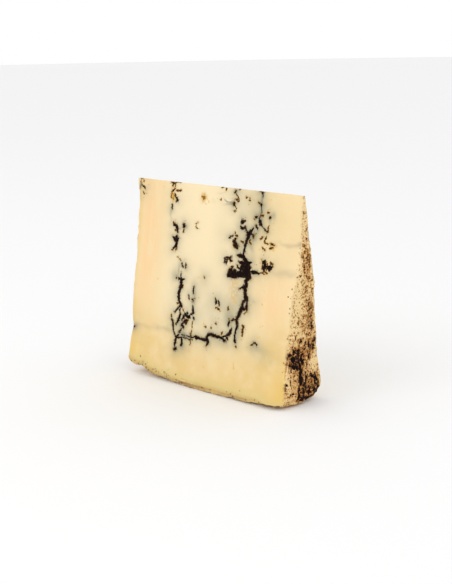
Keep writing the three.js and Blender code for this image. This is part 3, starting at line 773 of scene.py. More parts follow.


# Blotches of the right rind, listed one by one:
# (depth from the middle, radius, reach through, reach down, strength)
RIND_BLOTCHES = [
    # wide patches where the marks stand close
    (-5.5, 80.5, 6.5, 5.0, 0.5), (0.5, 95.5, 4.0, 7.5, 0.38), (11.0, 96.5, 4.0, 5.0, 0.4),
    (5.8, 60.0, 3.2, 9.0, 0.38), (2.6, 31.0, 2.4, 8.0, 0.2), (7.5, 76.0, 4.5, 4.5, 0.43),
    # near the thin edge
    (-0.6, 1.5, 0.5, 0.6, 0.6), (-0.6, 8.5, 0.9, 0.7, 0.9), (0.6, 8.2, 0.6, 0.5, 0.6),
    (2.0, 16.8, 0.7, 1.9, 0.9), (-0.9, 20.0, 0.8, 0.5, 0.7), (2.0, 21.6, 1.6, 0.8, 0.9),
    (0.2, 24.4, 0.9, 1.1, 0.9), (3.0, 24.0, 0.8, 0.6, 0.6), (-1.2, 24.0, 0.8, 0.5, 0.4),
    (0.0, 27.3, 0.5, 0.6, 0.7), (2.4, 27.4, 0.9, 1.0, 0.6), (-1.2, 30.0, 1.1, 0.8, 0.8),
    (1.8, 30.5, 1.4, 0.8, 0.8), (4.0, 31.2, 0.9, 1.7, 0.8), (-1.5, 33.4, 0.8, 0.5, 0.6),
    (4.2, 35.6, 1.2, 1.5, 0.6), (1.5, 33.0, 1.6, 1.2, 0.45),
    # upper half
    (-3.3, 38.8, 1.0, 0.6, 1.0), (0.6, 39.3, 1.6, 0.8, 0.6), (1.4, 40.2, 0.9, 0.5, 0.8),
    (3.5, 40.8, 0.9, 0.7, 0.8), (-1.3, 40.8, 1.0, 0.6, 0.7), (6.3, 42.0, 0.7, 1.0, 0.9),
    (-2.2, 42.4, 0.6, 0.7, 0.8), (-2.3, 45.3, 0.8, 0.5, 0.6), (1.0, 44.9, 1.2, 0.6, 0.6),
    (1.3, 47.4, 0.9, 1.2, 0.7), (-1.0, 48.2, 0.7, 0.5, 0.7), (6.8, 49.4, 1.0, 0.5, 0.5),
    (-5.6, 48.8, 0.7, 0.4, 0.5), (1.9, 51.8, 1.2, 1.0, 0.8), (4.2, 51.0, 0.9, 0.6, 0.8),
    (6.6, 50.8, 1.5, 0.5, 0.8), (-6.7, 51.7, 0.7, 0.5, 0.7), (-6.0, 53.3, 0.9, 0.5, 0.5),
    (4.0, 54.3, 1.4, 1.1, 1.0), (5.6, 56.0, 1.3, 0.6, 0.8), (6.2, 53.4, 0.9, 0.5, 0.7),
    (-6.8, 55.0, 0.6, 0.4, 0.5), (0.3, 54.6, 0.6, 0.4, 0.6), (-0.6, 55.7, 0.7, 0.4, 0.6),
    # middle
    (-7.4, 59.2, 1.0, 0.5, 1.0), (-4.0, 58.0, 0.6, 0.5, 0.7), (-4.2, 60.6, 1.0, 1.5, 0.9),
    (-4.8, 62.2, 1.2, 0.7, 0.9), (-0.8, 59.4, 1.1, 0.9, 0.7), (0.3, 58.6, 0.8, 0.6, 0.6),
    (3.0, 58.6, 0.9, 2.0, 0.6), (6.9, 60.9, 1.8, 1.2, 0.75), (3.2, 61.3, 1.2, 0.6, 0.6),
    (-1.0, 63.8, 1.2, 0.7, 1.0), (1.4, 63.7, 0.7, 1.0, 0.7), (4.6, 65.3, 1.3, 0.8, 0.7),
    (6.5, 63.8, 1.3, 1.0, 0.9), (7.4, 66.0, 1.7, 1.7, 1.0), (8.3, 64.6, 0.8, 0.9, 0.8),
    (-8.6, 63.2, 0.8, 0.4, 0.5), (-7.0, 63.8, 0.5, 0.3, 0.5), (-9.9, 67.7, 0.7, 0.4, 0.6),
    (-9.7, 69.6, 1.0, 0.5, 0.6), (-4.0, 67.6, 0.7, 0.6, 0.5), (-1.6, 66.8, 0.8, 0.5, 0.5),
    (-6.0, 69.2, 0.9, 1.1, 1.0), (-6.9, 70.2, 0.5, 0.5, 0.7), (3.0, 69.0, 1.3, 0.5, 0.7),
    (4.2, 70.2, 0.8, 0.5, 0.6), (-2.5, 71.3, 1.4, 1.4, 0.85), (8.4, 69.0, 1.5, 0.7, 0.5),
    (10.9, 69.8, 0.6, 0.7, 0.7), (-7.0, 72.6, 0.6, 0.8, 0.6), (1.2, 73.2, 1.8, 1.3, 1.0),
    # the dark patch above the heel, and the marks beside it
    (-6.9, 75.0, 0.6, 1.6, 0.8), (-3.8, 75.6, 2.0, 1.1, 0.8), (-6.3, 76.4, 1.1, 0.8, 0.9),
    (-9.6, 77.8, 2.2, 1.1, 0.85), (-11.3, 78.6, 0.9, 1.2, 0.7), (-3.2, 77.9, 1.5, 2.2, 0.85),
    (0.3, 75.6, 1.3, 0.7, 0.8), (-6.9, 80.6, 1.2, 1.3, 1.1), (-3.6, 80.2, 1.4, 0.7, 0.6),
    (-9.4, 83.0, 1.9, 1.1, 1.0), (-2.5, 82.0, 1.6, 1.4, 0.8), (-0.4, 81.6, 0.8, 2.6, 1.1),
    (-6.2, 84.2, 2.0, 1.0, 1.1), (-4.0, 85.0, 1.9, 0.8, 1.0), (-1.8, 84.0, 1.4, 1.2, 0.7),
    (-8.2, 86.0, 0.6, 0.9, 0.8), (-5.8, 86.2, 0.8, 0.7, 0.6), (-0.2, 77.8, 0.6, 1.6, 0.6),
    (5.2, 75.0, 0.6, 2.4, 0.9), (6.0, 77.2, 1.6, 0.8, 0.5), (5.6, 81.2, 1.3, 1.6, 0.9),
    (8.0, 73.8, 2.2, 0.8, 0.6), (10.7, 74.2, 0.9, 1.4, 0.9), (10.2, 77.8, 0.8, 1.8, 0.85),
    (11.9, 76.2, 0.6, 1.0, 0.6), (2.6, 84.0, 1.4, 1.2, 0.6), (7.0, 86.4, 1.0, 0.4, 0.5),
    (12.9, 80.6, 0.9, 0.8, 0.4), (7.8, 78.8, 2.4, 1.0, 0.4),
    # the long grooves and blotches above the heel
    (-1.5, 87.6, 0.7, 2.6, 1.2), (-1.7, 91.6, 1.0, 2.8, 1.2), (-2.6, 95.6, 0.6, 2.4, 1.0),
    (-2.6, 99.4, 0.8, 1.8, 1.1), (2.0, 91.4, 1.0, 2.4, 1.2), (1.6, 95.2, 0.9, 2.2, 0.8),
    (0.7, 98.4, 1.2, 1.6, 0.8), (0.2, 101.2, 2.0, 1.2, 1.0), (3.6, 101.8, 1.6, 0.9, 0.9),
    (1.8, 88.0, 0.6, 0.7, 0.7), (-0.2, 93.2, 0.9, 1.2, 0.8), (6.1, 99.2, 0.9, 1.6, 0.9),
    (6.9, 90.2, 0.7, 1.2, 0.9), (8.6, 91.8, 1.5, 0.8, 1.0), (11.0, 93.6, 2.0, 0.8, 1.0),
    (11.7, 91.8, 0.7, 0.9, 0.9), (10.6, 95.6, 1.8, 0.9, 0.8), (12.6, 95.0, 0.9, 1.0, 0.9),
    (9.8, 98.6, 1.3, 1.6, 1.0), (13.4, 99.2, 1.2, 1.6, 0.85), (11.6, 100.6, 1.8, 0.9, 0.8),
    (14.4, 96.4, 0.5, 1.6, 0.6), (7.4, 94.8, 0.6, 0.5, 0.5), (3.4, 98.4, 2.0, 1.2, 0.45),
    # spots near the front cut
    (-11.9, 92.5, 1.2, 0.7, 1.1), (-13.0, 94.3, 0.7, 1.3, 0.9), (-8.0, 91.7, 0.6, 1.2, 1.1),
    (-8.4, 94.5, 0.6, 0.5, 0.8), (-5.4, 90.9, 0.9, 0.6, 0.7), (-9.0, 97.8, 1.0, 0.5, 1.0),
    (-6.8, 97.6, 0.9, 0.6, 0.8), (-10.5, 98.7, 0.8, 0.4, 0.7), (-14.2, 100.3, 0.7, 0.5, 0.9),
    (-14.3, 96.2, 0.5, 0.4, 0.6), (-6.2, 88.6, 0.7, 0.5, 0.5), (-12.4, 85.4, 0.6, 0.9, 0.5),
    (-5.6, 94.2, 0.5, 0.4, 0.4), (-3.6, 101.6, 1.2, 0.8, 0.7),
]

# Grooves and long marks of the right rind: each is a chain of (depth, radius, width)
RIND_STROKES = [
    [(-1.4, 85.4, 1.0), (-1.4, 88.0, 1.1), (-1.8, 91.0, 1.4), (-2.4, 94.0, 1.3), (-2.8, 96.6, 0.9),
     (-2.5, 100.0, 1.5)],
    [(1.9, 88.0, 0.7), (2.0, 90.4, 1.5), (2.0, 93.0, 1.3), (1.7, 95.6, 1.1), (0.9, 98.2, 1.2),
     (0.5, 101.2, 1.8)],
    [(6.1, 97.2, 0.8), (6.1, 99.2, 1.6), (5.8, 101.2, 1.2)],
    [(6.3, 89.4, 0.8), (7.0, 91.2, 1.1), (9.2, 92.5, 1.2), (11.2, 94.0, 1.0), (12.8, 95.2, 1.0)],
    [(11.3, 91.2, 1.0), (11.8, 92.6, 1.2), (12.9, 95.6, 1.0), (13.9, 97.4, 0.7)],
    [(9.9, 96.8, 1.4), (9.5, 98.6, 2.2), (9.3, 100.4, 1.6)],
    [(13.3, 97.4, 1.0), (13.5, 99.4, 1.8), (12.6, 101.0, 1.4)],
    [(-4.0, 101.2, 0.8), (-1.0, 101.6, 1.2), (2.6, 101.2, 1.3), (5.0, 102.0, 1.2), (9.0, 101.4, 0.8)],
    [(-0.3, 79.3, 0.9), (-0.2, 81.4, 1.4), (-0.5, 83.8, 1.1)],
    [(5.1, 72.4, 0.7), (5.2, 75.0, 1.0), (5.6, 77.2, 0.7)],
    [(10.3, 73.0, 1.2), (10.8, 75.4, 1.0)],
    [(10.5, 76.6, 0.8), (9.9, 79.6, 0.8)],
    [(-6.9, 73.2, 0.5), (-6.9, 77.2, 0.9)],
    [(-8.0, 84.0, 0.9), (-5.8, 84.2, 1.9), (-3.4, 84.6, 1.7), (-1.3, 86.2, 1.3)],
    [(-11.6, 82.4, 0.7), (-9.6, 82.9, 1.3), (-8.4, 83.6, 0.8)],
    [(-6.9, 79.6, 1.6), (-6.9, 81.8, 1.4)],
    [(-3.9, 75.2, 1.4), (-3.0, 79.6, 1.6)],
    [(-10.8, 77.4, 0.9), (-8.6, 77.9, 1.3)],
    [(3.4, 53.4, 0.9), (4.2, 54.4, 1.3), (6.0, 56.4, 0.8)],
    [(5.8, 63.4, 0.9), (7.6, 65.2, 1.4), (6.6, 67.2, 1.6)],
]

# Where the right rind's ground is browner, or paler where the strength is negative, in the blotches'
# layout
RIND_TONES = [
    (1.0, 95.0, 6.0, 8.0, 0.7),
    (10.0, 97.0, 5.0, 6.0, 0.7),
    (-4.0, 80.0, 6.0, 6.0, 0.7),
    (6.0, 77.0, 5.0, 6.0, 0.6),
    (5.0, 60.0, 3.5, 7.0, 0.65),
    (3.0, 34.0, 3.0, 8.0, 0.65),
    (9.5, 85.5, 3.5, 4.0, -0.6),
    (-4.5, 52.0, 3.5, 7.0, -0.35),
    (-12.0, 89.5, 3.0, 3.5, -0.6),
    (-8.0, 66.0, 3.0, 5.0, -0.3),
    (-3.5, 32.0, 1.5, 12.0, -0.5),
]


def rind_places(points, radius, right, left):
    """Where a point of any rind falls in the right rind's layout, given as (depth, radius)."""
    over_heel = WHEEL_RADIUS - 0.9 * (HALF_HEIGHT - points[:, 0])
    down = np.where(right | left, radius, over_heel)
    return np.stack([np.where(left, -points[:, 1], points[:, 1]), down], axis=1)


def blotch_strength(places):
    """How dark the rind is by its blotches and long marks."""
    strongest = BLOTCH_EDGE - 0.5 * stroke_distance(places, RIND_STROKES)
    for depth, radius, through, down, strength in RIND_BLOTCHES:
        spot = strength * bump(places[:, 0], depth, through) * bump(places[:, 1], radius, down)
        strongest = np.maximum(strongest, spot)
    return strongest


def wedge_mesh():
    """The wedge's fine mesh, cut again near the veins so that their edges stay sharp."""
    places, quads = box_grid(STEPS)
    across = crowd(places[:, 0] * 2 - 1)
    down = crowd(places[:, 1] * 2 - 1) / 2 + 0.5
    through = crowd(places[:, 2] * 2 - 1)
    points = wedge_points(across, down, through)
    middle = (points.min(axis=0) + points.max(axis=0)) / 2 * (1, 1, 0)
    radius = wheel_radius(points)
    thin_edge = at_end(down, 0) & ~at_end(np.abs(across))
    on_cut = at_end(np.abs(through)) | thin_edge
    inset = cut_inset(points, radius, on_cut)

    grain = Grain(3)
    sides = (np.abs(across).round(6), down.round(6), np.abs(through).round(6))
    points = fine_relief(points, radius, point_normals(points, quads), sides, grain)
    points = worn_edges(points, radius, sides, grain) - middle
    points = np.clip(points, np.array(CAD_BOX[0]) / MM, np.array(CAD_BOX[1]) / MM)

    mesh = bpy.data.meshes.new("cheese")
    mesh.from_pydata(points * MM, [], quads.tolist())
    write_floats(mesh, "on_right", at_end(across).astype(float))
    write_floats(mesh, "inset", inset)

    cheese = bmesh.new()
    cheese.from_mesh(mesh)
    bmesh.ops.recalc_face_normals(cheese, faces=cheese.faces)
    refine_near_veins(cheese, middle)
    cheese.to_mesh(mesh)
    cheese.free()
    return mesh, middle


def wheel_radius(points):
    """Distance from the wheel's axis, which lies along the thin edge."""
    return np.hypot(points[:, 1], WHEEL_RADIUS - RESTING_SINK - points[:, 2])


def point_normals(points, quads):
    """Outward normals of a grid's points."""
    mesh = bpy.data.meshes.new("plain")
    mesh.from_pydata(points, [], quads.tolist())
    plain = bmesh.new()
    plain.from_mesh(mesh)
    bmesh.ops.recalc_face_normals(plain, faces=plain.faces)
    plain.normal_update()
    normals = np.array([vertex.normal for vertex in plain.verts])
    plain.free()
    bpy.data.meshes.remove(mesh)
    return normals


def cut_inset(points, radius, on_cut):
    """On a cut face the distance in from the rind, and on the rind minus that from the cut."""
    from_rind = np.maximum(np.minimum(HALF_HEIGHT - np.abs(points[:, 0]), WHEEL_RADIUS - radius), 0)
    from_cut = np.maximum(half_thickness(radius) - np.abs(points[:, 1]), 0)
    wrap_radius, wrap_reach, wrap_width = RIND_WRAP
    wrap = wrap_width * (points[:, 0] > WRAPPED_FROM) * bump(radius, wrap_radius, wrap_reach)
    return np.where(on_cut, from_rind - wrap, -from_cut)


def heel_edge(x):
    """Radius of the heel's outline, which both rims round off."""
    across, up = np.where((x < 0)[:, None], LEFT_RIM, RIGHT_RIM).T
    share = np.clip((np.abs(x) - HALF_HEIGHT + across) / across, 0, 1)
    crown = HEEL_CROWN * (x / HALF_HEIGHT) ** 2
    return WHEEL_RADIUS - crown - up * (1 - np.sqrt(1 - share**2))


def refine_near_veins(cheese, middle):
    """Cuts the grid again where a cut face has veins, or where the front one has its flake."""
    for side, cuts in ((-1, FRONT_CUTS), (1, BACK_CUTS)):
        faces = [face for face in cheese.faces if side * face.normal.y > CUT_FACING]
        centres = np.array([face.calc_center_median() for face in faces]) / MM + middle
        places = np.stack([centres[:, 0], wheel_radius(centres)], axis=1)
        if side > 0:
            places = back_places(places)
        near = stroke_distance(places, CORE_STROKES + BROWN_STROKES + TAN_STROKES) < VEIN_REACH
        if side < 0:
            near |= flake_height(*places.T) > 0
        edges = {edge for face, close in zip(faces, near) if close for edge in face.edges}
        bmesh.ops.subdivide_edges(cheese, edges=list(edges), cuts=cuts, use_grid_fill=True)
    bmesh.ops.triangulate(cheese, faces=[face for face in cheese.faces if len(face.verts) > 4])


def read_floats(mesh, name):
    values = np.zeros(len(mesh.vertices))
    mesh.attributes[name].data.foreach_get("value", values)
    return values


def write_floats(mesh, name, values):
    attribute = mesh.attributes.new(name, "FLOAT", "POINT")
    attribute.data.foreach_set("value", values.astype(np.float32))


def read_vectors(mesh, name):
    values = np.zeros(len(mesh.vertices) * 3)
    mesh.vertices.foreach_get(name, values)
    return values.reshape(-1, 3)


def vein_fields(points, places, cut, back, grain):
    """Distances to the truffle's strokes, and the stains, painted shades, crumbs, and the painted
    highlight and shadow at the flake's rim of the cut faces.
    """
    x, radius = places.T
    front = points[:, 1] < 0
    front_wide = 0.26 + 0.4 * bump(x, 21, 9) * bump(radius, 40, 6)
    moved = ragged(places, points, grain, np.where(back, 0.9, front_wide))
    core = stroke_distance(moved, CORE_STROKES)
    brown = stroke_distance(moved, BROWN_STROKES)

    drifting = places + np.stack([grain.at(points, 3.0), grain.at(points + 9, 3.0)], axis=1)
    clear = 1 - np.clip(smudge_strength(places, CLEAR_SPOTS), 0, 0.8)
    halo = 0.36 * fading(core, 1.5) + 0.3 * fading(core, 4.5) + 0.16 * fading(brown, 1.0)

    rim = np.hypot(x - FLAKE_X, radius - FLAKE_DOWN) / FLAKE_REACH
    below = smoothstep(radius, FLAKE_DOWN + 3.2, FLAKE_DOWN + 4.8) * front
    distances = {
        "core": core,
        "brown": brown,
        "tan": stroke_distance(moved, TAN_STROKES),
    }
    strengths = {
        # grey halos round the veins, and painted shade from the smudges at the creases and under the
        # flake
        "stain_and_shade": halo * clear + 0.6 * smudge_strength(drifting, GREY_SMUDGES_AND_SHADES),
        "crumbs": 0.8 * fading(np.minimum(core, brown), 1.8) + 0.02,
        # painted shade along the creases and at the corner
        "painted_shade": smudge_strength(drifting, PAINTED_SHADES),
        "glow": smudge_strength(drifting, GLOWS) * front,
        # painted highlight along the flake's lifted rim, and painted shadow just under it
        "flake": below * bump(rim, 0.9, 0.1),
        "shadow": below * bump(rim, 1.1, 0.07),
    }
    fields = {name: np.where(cut, np.clip(value, -2, FAR), FAR) for name, value in distances.items()}
    for name, value in strengths.items():
        fields[name] = np.where(cut, np.clip(value, 0, 1), 0.0)
    return fields


def heel_fields(points, radius, grain):
    """Distance up from the heel's edge, and where crumbs and a brown line lie near the rind."""
    x = points[:, 0]
    sole = np.maximum(heel_edge(x) - radius - 1.6 * bump(x, -43, 8), 0) + 3 * smoothstep(x, 38, 52)
    stray = 0.5 * fading(HALF_HEIGHT - x, 1.5) * smoothstep(radius, 12, 30)
    stray += (0.25 + 0.75 * smoothstep(-x, 0, 25)) * fading(sole - 1.8, 1.6)
    browned = (0.3 + 0.7 * smoothstep(-x, -5, 20)) * smoothstep(x, -49, -45)
    browned *= smoothstep(grain.at(points, 6.0), -0.5, 0.3)
    return {"sole": sole, "stray": np.clip(stray, 0, 1), "browned": browned}


def tint_fields(places, inset):
    """How far the paste leans to each of its tints."""
    x, radius = places.T
    yellow = smoothstep(radius - 14 * bump(x, 5, 28), 56, 94) + 0.8 * bump(inset, 0, 2.6) * (x < 0)
    yellow += 0.4 * smoothstep(-x, 44, 56) * smoothstep(radius, 50, 75)
    yellow += 0.3 * bump(x, 45, 12) * bump(radius, 14, 14)
    yellow += 0.7 * smoothstep(x, 36, 52) * smoothstep(radius, 50, 80)
    middle = smoothstep(x, -42, -26) * (1 - smoothstep(x, 14, 34))
    left_peach = bump(x, -48, 8) * (1 - smoothstep(radius, 40, 90))
    deep_right = 0.75 * bump(x, 55, 8) * smoothstep(radius, 72, 98)
    deep_left = 0.9 * bump(x, -57, 9) * smoothstep(radius, 78, 92)
    tints = {
        "pale": middle * (1 - smoothstep(radius, 66, 88)),
        "grey": 0.8 * bump(x, 0, 24) * bump(radius, 62, 15),
        "peach": left_peach + 0.8 * bump(x, 45, 10) * bump(radius, 54, 17),
        "yellow": yellow,
        "deep": deep_right + deep_left,
    }
    return {name: np.clip(value, 0, 1) for name, value in tints.items()}


def rind_fields(points, radius, right, left):
    """Places along the wheel's outline and through the wedge, and how marked and brown the rind is."""
    x = points[:, 0]
    heel_run = WHEEL_RADIUS + HALF_HEIGHT + x
    right_run = WHEEL_RADIUS + WHEEL_HEIGHT + (WHEEL_RADIUS - radius)
    rind = rind_places(points, radius, right | (x > RIGHT_MARKS_FROM), left)
    share = np.where(left | (x < LESS_MARKED_FROM), LEFT_CRUST_SHARE, 1.0)
    rough = 1.03 + 0.38 * smoothstep(rind[:, 1], 66, 76)
    return {
        "along": np.where(right, right_run, np.where(left, radius, heel_run)),
        "through": points[:, 1],
        "blotch": blotch_strength(rind) * rough * (0.4 + 0.6 * share),
        "tone": 0.2 + 0.002 * rind[:, 1] + smudge_strength(rind, RIND_TONES),
    }


def paint_fields(mesh, middle):
    """Stores what the material mixes, one number for each point and field."""
    points = read_vectors(mesh, "co") / MM + middle
    radius = wheel_radius(points)
    inset = read_floats(mesh, "inset")
    right = read_floats(mesh, "on_right") > 0.5
    left = (read_vectors(mesh, "normal")[:, 0] < -RIND_FACING) & ~right
    cut = inset >= 0
    back = cut & (points[:, 1] > 0)
    places = np.stack([points[:, 0], radius], axis=1)
    places[back] = back_places(places[back])

    grain = Grain(7)
    fields = vein_fields(points, places, cut, back, grain)
    fields.update(heel_fields(points, radius, grain))
    fields.update(tint_fields(places, inset))
    fields.update(rind_fields(points, radius, right, left))
    for name, values in fields.items():
        write_floats(mesh, name, values)


# Colours

def tone(red, green, blue, light=STUDIO_LIGHT):
    """A colour given as it looks in the studio's light, 0 to 255, as a shader takes it."""
    shares = [value / 255 for value in (red, green, blue)]
    linear = [s / 12.92 if s <= 0.04045 else ((s + 0.055) / 1.055) ** 2.4 for s in shares]
    return (*[value / light for value in linear], 1.0)


IVORY = tone(245, 221, 173)
PALE_IVORY = tone(248, 228, 187)
GREY_IVORY = tone(226, 211, 174)
PEACH = tone(247, 211, 160)
YELLOW = tone(233, 202, 138)
DEEP_YELLOW = tone(236, 198, 110)
OLIVE = tone(222, 200, 134)
SOLE_OLIVE = tone(206, 176, 114)
SOLE_BROWN = tone(118, 76, 36)
# Grey of the halos round the veins, also used for painted shade
HALO_AND_SHADE_GREY = tone(146, 146, 122)
# Painted shade for the creases, the corner and under the flake
SHADE_GREY = tone(128, 112, 104)
# Painted highlight for the flake's lifted rim
FLAKE_HIGHLIGHT = tone(253, 240, 204)
OLIVE_GOLD = tone(200, 154, 72)
GOLD = tone(234, 184, 84)
BROWN = tone(74, 42, 18)
RUST = tone(146, 90, 34)
TRUFFLE = tone(20, 10, 7)
TRUFFLE_WARM = tone(44, 24, 13)
CRUST_PALE = tone(248, 220, 164)
CRUST_TAN = tone(230, 190, 128)
CRUST_BROWN = tone(164, 106, 52)
CRUST_DARK = tone(112, 76, 48)
CRUST_GOLD = tone(186, 124, 56)
MARK_BROWN = tone(98, 58, 28)
MARK_BLACK = tone(28, 17, 18)


class Nodes:
    """A material's node tree, with one short call for each kind of node."""

    def __init__(self, name):
        self.material = bpy.data.materials.new(name)
        self.material.use_nodes = True
        self.tree = self.material.node_tree
        self.tree.nodes.clear()
        self.output = self.tree.nodes.new("ShaderNodeOutputMaterial")
        self.shader = self.tree.nodes.new("ShaderNodeBsdfPrincipled")
        self.tree.links.new(self.shader.outputs["BSDF"], self.output.inputs["Surface"])

    def put(self, value, socket):
        if isinstance(value, bpy.types.NodeSocket):
            self.tree.links.new(value, socket)
        else:
            socket.default_value = value

    def field(self, name):
        node = self.tree.nodes.new("ShaderNodeAttribute")
        node.attribute_name = name
        return node.outputs["Fac"]

    def place(self):
        """Position in the wedge, in millimetres."""
        node = self.tree.nodes.new("ShaderNodeTexCoord")
        return self.stretched(node.outputs["Object"], (1 / MM, 1 / MM, 1 / MM))

    def stretched(self, place, scales):
        node = self.tree.nodes.new("ShaderNodeVectorMath")
        node.operation = "MULTIPLY"
        self.put(place, node.inputs[0])
        node.inputs[1].default_value = scales
        return node.outputs["Vector"]

    def vector(self, x, y, z):
        node = self.tree.nodes.new("ShaderNodeCombineXYZ")
        for value, socket in zip((x, y, z), node.inputs):
            self.put(value, socket)
        return node.outputs["Vector"]

    def math(self, operation, a, b=0.0, clamp=False):
        node = self.tree.nodes.new("ShaderNodeMath")
        node.operation = operation
        node.use_clamp = clamp
        self.put(a, node.inputs[0])
        self.put(b, node.inputs[1])
        return node.outputs["Value"]

    def add(self, a, b):
        return self.math("ADD", a, b)

    def times(self, a, b):
        return self.math("MULTIPLY", a, b)

    def most(self, a, b):
        return self.math("MAXIMUM", a, b)

    def step(self, value, low, high):
        """0 up to low and 1 from high on, or the other way round where low is above high."""
        node = self.tree.nodes.new("ShaderNodeMapRange")
        node.interpolation_type = "SMOOTHSTEP"
        self.put(value, node.inputs["Value"])
        node.inputs["From Min"].default_value = min(low, high)
        node.inputs["From Max"].default_value = max(low, high)
        node.inputs["To Min"].default_value = 0.0 if low < high else 1.0
        node.inputs["To Max"].default_value = 1.0 if low < high else 0.0
        return node.outputs["Result"]

    def noise(self, place, size, detail=2.0, rough=0.5):
        """Cloudy values about one half, that change over size millimetres."""
        node = self.tree.nodes.new("ShaderNodeTexNoise")
        node.inputs["Scale"].default_value = 1 / size
        node.inputs["Detail"].default_value = detail
        node.inputs["Roughness"].default_value = rough
        self.put(place, node.inputs["Vector"])
        return node.outputs["Fac"]

    def wobble(self, place, size, reach, detail=3.0):
        """Noise about nothing, up to about half the reach either way."""
        around = self.add(self.noise(place, size, detail, 0.65), -0.5)
        return self.times(around, reach)

    def cells(self, place, size, jitter=1.0, flat=False):
        """Distance to the nearest scattered point, in steps of the size, and that point's chance."""
        node = self.tree.nodes.new("ShaderNodeTexVoronoi")
        node.voronoi_dimensions = "2D" if flat else "3D"
        node.inputs["Scale"].default_value = 1 / size
        node.inputs["Randomness"].default_value = jitter
        self.put(place, node.inputs["Vector"])
        split = self.tree.nodes.new("ShaderNodeSeparateColor")
        self.put(node.outputs["Color"], split.inputs["Color"])
        return node.outputs["Distance"], split.outputs["Red"]

    def mix(self, share, a, b):
        node = self.tree.nodes.new("ShaderNodeMix")
        node.data_type = "RGBA"
        self.put(share, node.inputs["Factor"])
        self.put(a, node.inputs["A"])
        self.put(b, node.inputs["B"])
        return node.outputs["Result"]

    def blend(self, share, a, b):
        """A number between a and b."""
        node = self.tree.nodes.new("ShaderNodeMix")
        node.data_type = "FLOAT"
        self.put(share, node.inputs["Factor"])
        self.put(a, node.inputs["A"])
        self.put(b, node.inputs["B"])
        return node.outputs["Result"]

    def bump(self, height, depth):
        node = self.tree.nodes.new("ShaderNodeBump")
        node.inputs["Strength"].default_value = 1.0
        node.inputs["Distance"].default_value = depth * MM
        self.put(height, node.inputs["Height"])
        return node.outputs["Normal"]


def paste_colour(n, place):
    """Waxy paste: ivory in the middle, peach at the sides, yellower towards the rind, with painted shade
    in the creases and a painted highlight and shadow at the flake.
    """
    cloud = n.noise(place, 9.0, 3.0)
    streaks = n.noise(n.stretched(place, (1.0, 1.0, 0.25)), 4.0, 3.0)
    colour = n.mix(n.field("pale"), IVORY, PALE_IVORY)
    colour = n.mix(n.times(n.field("grey"), n.step(cloud, 0.0, 0.6)), colour, GREY_IVORY)
    colour = n.mix(n.times(n.field("peach"), n.step(streaks, 0.15, 0.6)), colour, PEACH)
    colour = n.mix(n.times(n.field("yellow"), n.step(cloud, 0.0, 0.7)), colour, YELLOW)
    colour = n.mix(n.times(n.field("deep"), n.step(streaks, -0.3, 0.6)), colour, DEEP_YELLOW)
    # Grey halos round the veins, with painted shade where smudges lie on creases and under the flake
    stain_and_shade = n.math("MULTIPLY", n.field("stain_and_shade"), n.add(0.6, n.times(cloud, 0.8)), clamp=True)
    colour = n.mix(stain_and_shade, colour, HALO_AND_SHADE_GREY)
    # Painted shade along the creases and at the corner
    colour = n.mix(n.times(n.field("painted_shade"), 0.8), colour, SHADE_GREY)
    oily = n.times(n.field("glow"), n.step(n.noise(place, 1.4, 2.0), 0.25, 0.6))
    colour = n.mix(oily, colour, OLIVE_GOLD)
    # Painted shadow under the flake's lifted rim, then a painted highlight along the rim
    colour = n.mix(n.times(n.field("shadow"), 0.7), colour, SHADE_GREY)
    return n.mix(n.times(n.field("flake"), 0.6), colour, FLAKE_HIGHLIGHT)


def specks(n, place, size, jitter_reach, chance_of, radius):
    """Small round grains scattered where a chance from 0 to 1 allows them."""
    moved = n.wobble(place, size / 2, jitter_reach)
    distance, chance = n.cells(place, size)
    kept = n.step(n.math("SUBTRACT", chance_of, chance), 0.0, 0.08)
    edge = n.add(distance, n.math("SUBTRACT", moved, radius))
    return n.times(kept, n.step(edge, 0.06, -0.06))


def truffle_masks(n, place):
    """Where each layer of the truffle's marks shows, from 0 to 1."""
    grit, _ = n.cells(place, 0.75)
    wobble = n.add(n.wobble(place, 0.5, 0.9), n.wobble(place, 1.6, 0.5))
    wobble = n.add(wobble, n.times(n.add(grit, -0.42), 0.8))
    core_edge = n.add(n.field("core"), wobble)
    brown_edge = n.add(n.field("brown"), n.times(wobble, 1.2))
    patch = n.step(n.noise(place, 2.2, 1.0), 0.4, 0.55)
    fringe_edge = n.add(n.field("core"), n.times(wobble, 1.7))
    gold_edge = n.add(n.field("tan"), n.times(wobble, 1.5))
    return {
        "core": n.step(core_edge, 0.34, 0.12),
        "inner rust": n.times(n.step(core_edge, -1.6, -0.1), n.step(n.noise(place, 0.9, 2.0), 0.5, 0.64)),
        "fringe": n.times(n.step(fringe_edge, 0.95, 0.3), patch),
        "ring": n.step(brown_edge, 0.95, 0.25),
        "brown": n.step(brown_edge, 0.4, 0.1),
        "dark": n.step(brown_edge, 0.12, -0.15),
        "gold": n.step(gold_edge, 0.1, -0.2),
        "rust": n.step(gold_edge, -0.4, -0.9),
        "crumbs": specks(n, place, 1.1, 0.5, n.times(n.field("crumbs"), 0.5), 0.2),
    }


def with_truffle(n, place, colour, masks):
    """The truffle's layers over the paste, from the faintest up."""
    shade = n.noise(place, 0.8, 2.0)
    rusty = n.mix(n.step(shade, 0.4, 0.62), BROWN, RUST)
    colour = n.mix(n.times(masks["gold"], 0.8), colour, GOLD)
    colour = n.mix(n.times(masks["rust"], 0.85), colour, rusty)
    colour = n.mix(n.times(masks["ring"], 0.35), colour, GOLD)
    colour = n.mix(n.times(masks["crumbs"], 0.75), colour, rusty)
    colour = n.mix(n.times(masks["fringe"], 0.7), colour, rusty)
    colour = n.mix(n.times(masks["brown"], 0.9), colour, rusty)
    colour = n.mix(n.times(masks["dark"], 0.85), colour, TRUFFLE_WARM)
    inside = n.mix(masks["inner rust"], TRUFFLE, n.mix(0.5, TRUFFLE_WARM, BROWN))
    return n.mix(masks["core"], colour, inside)


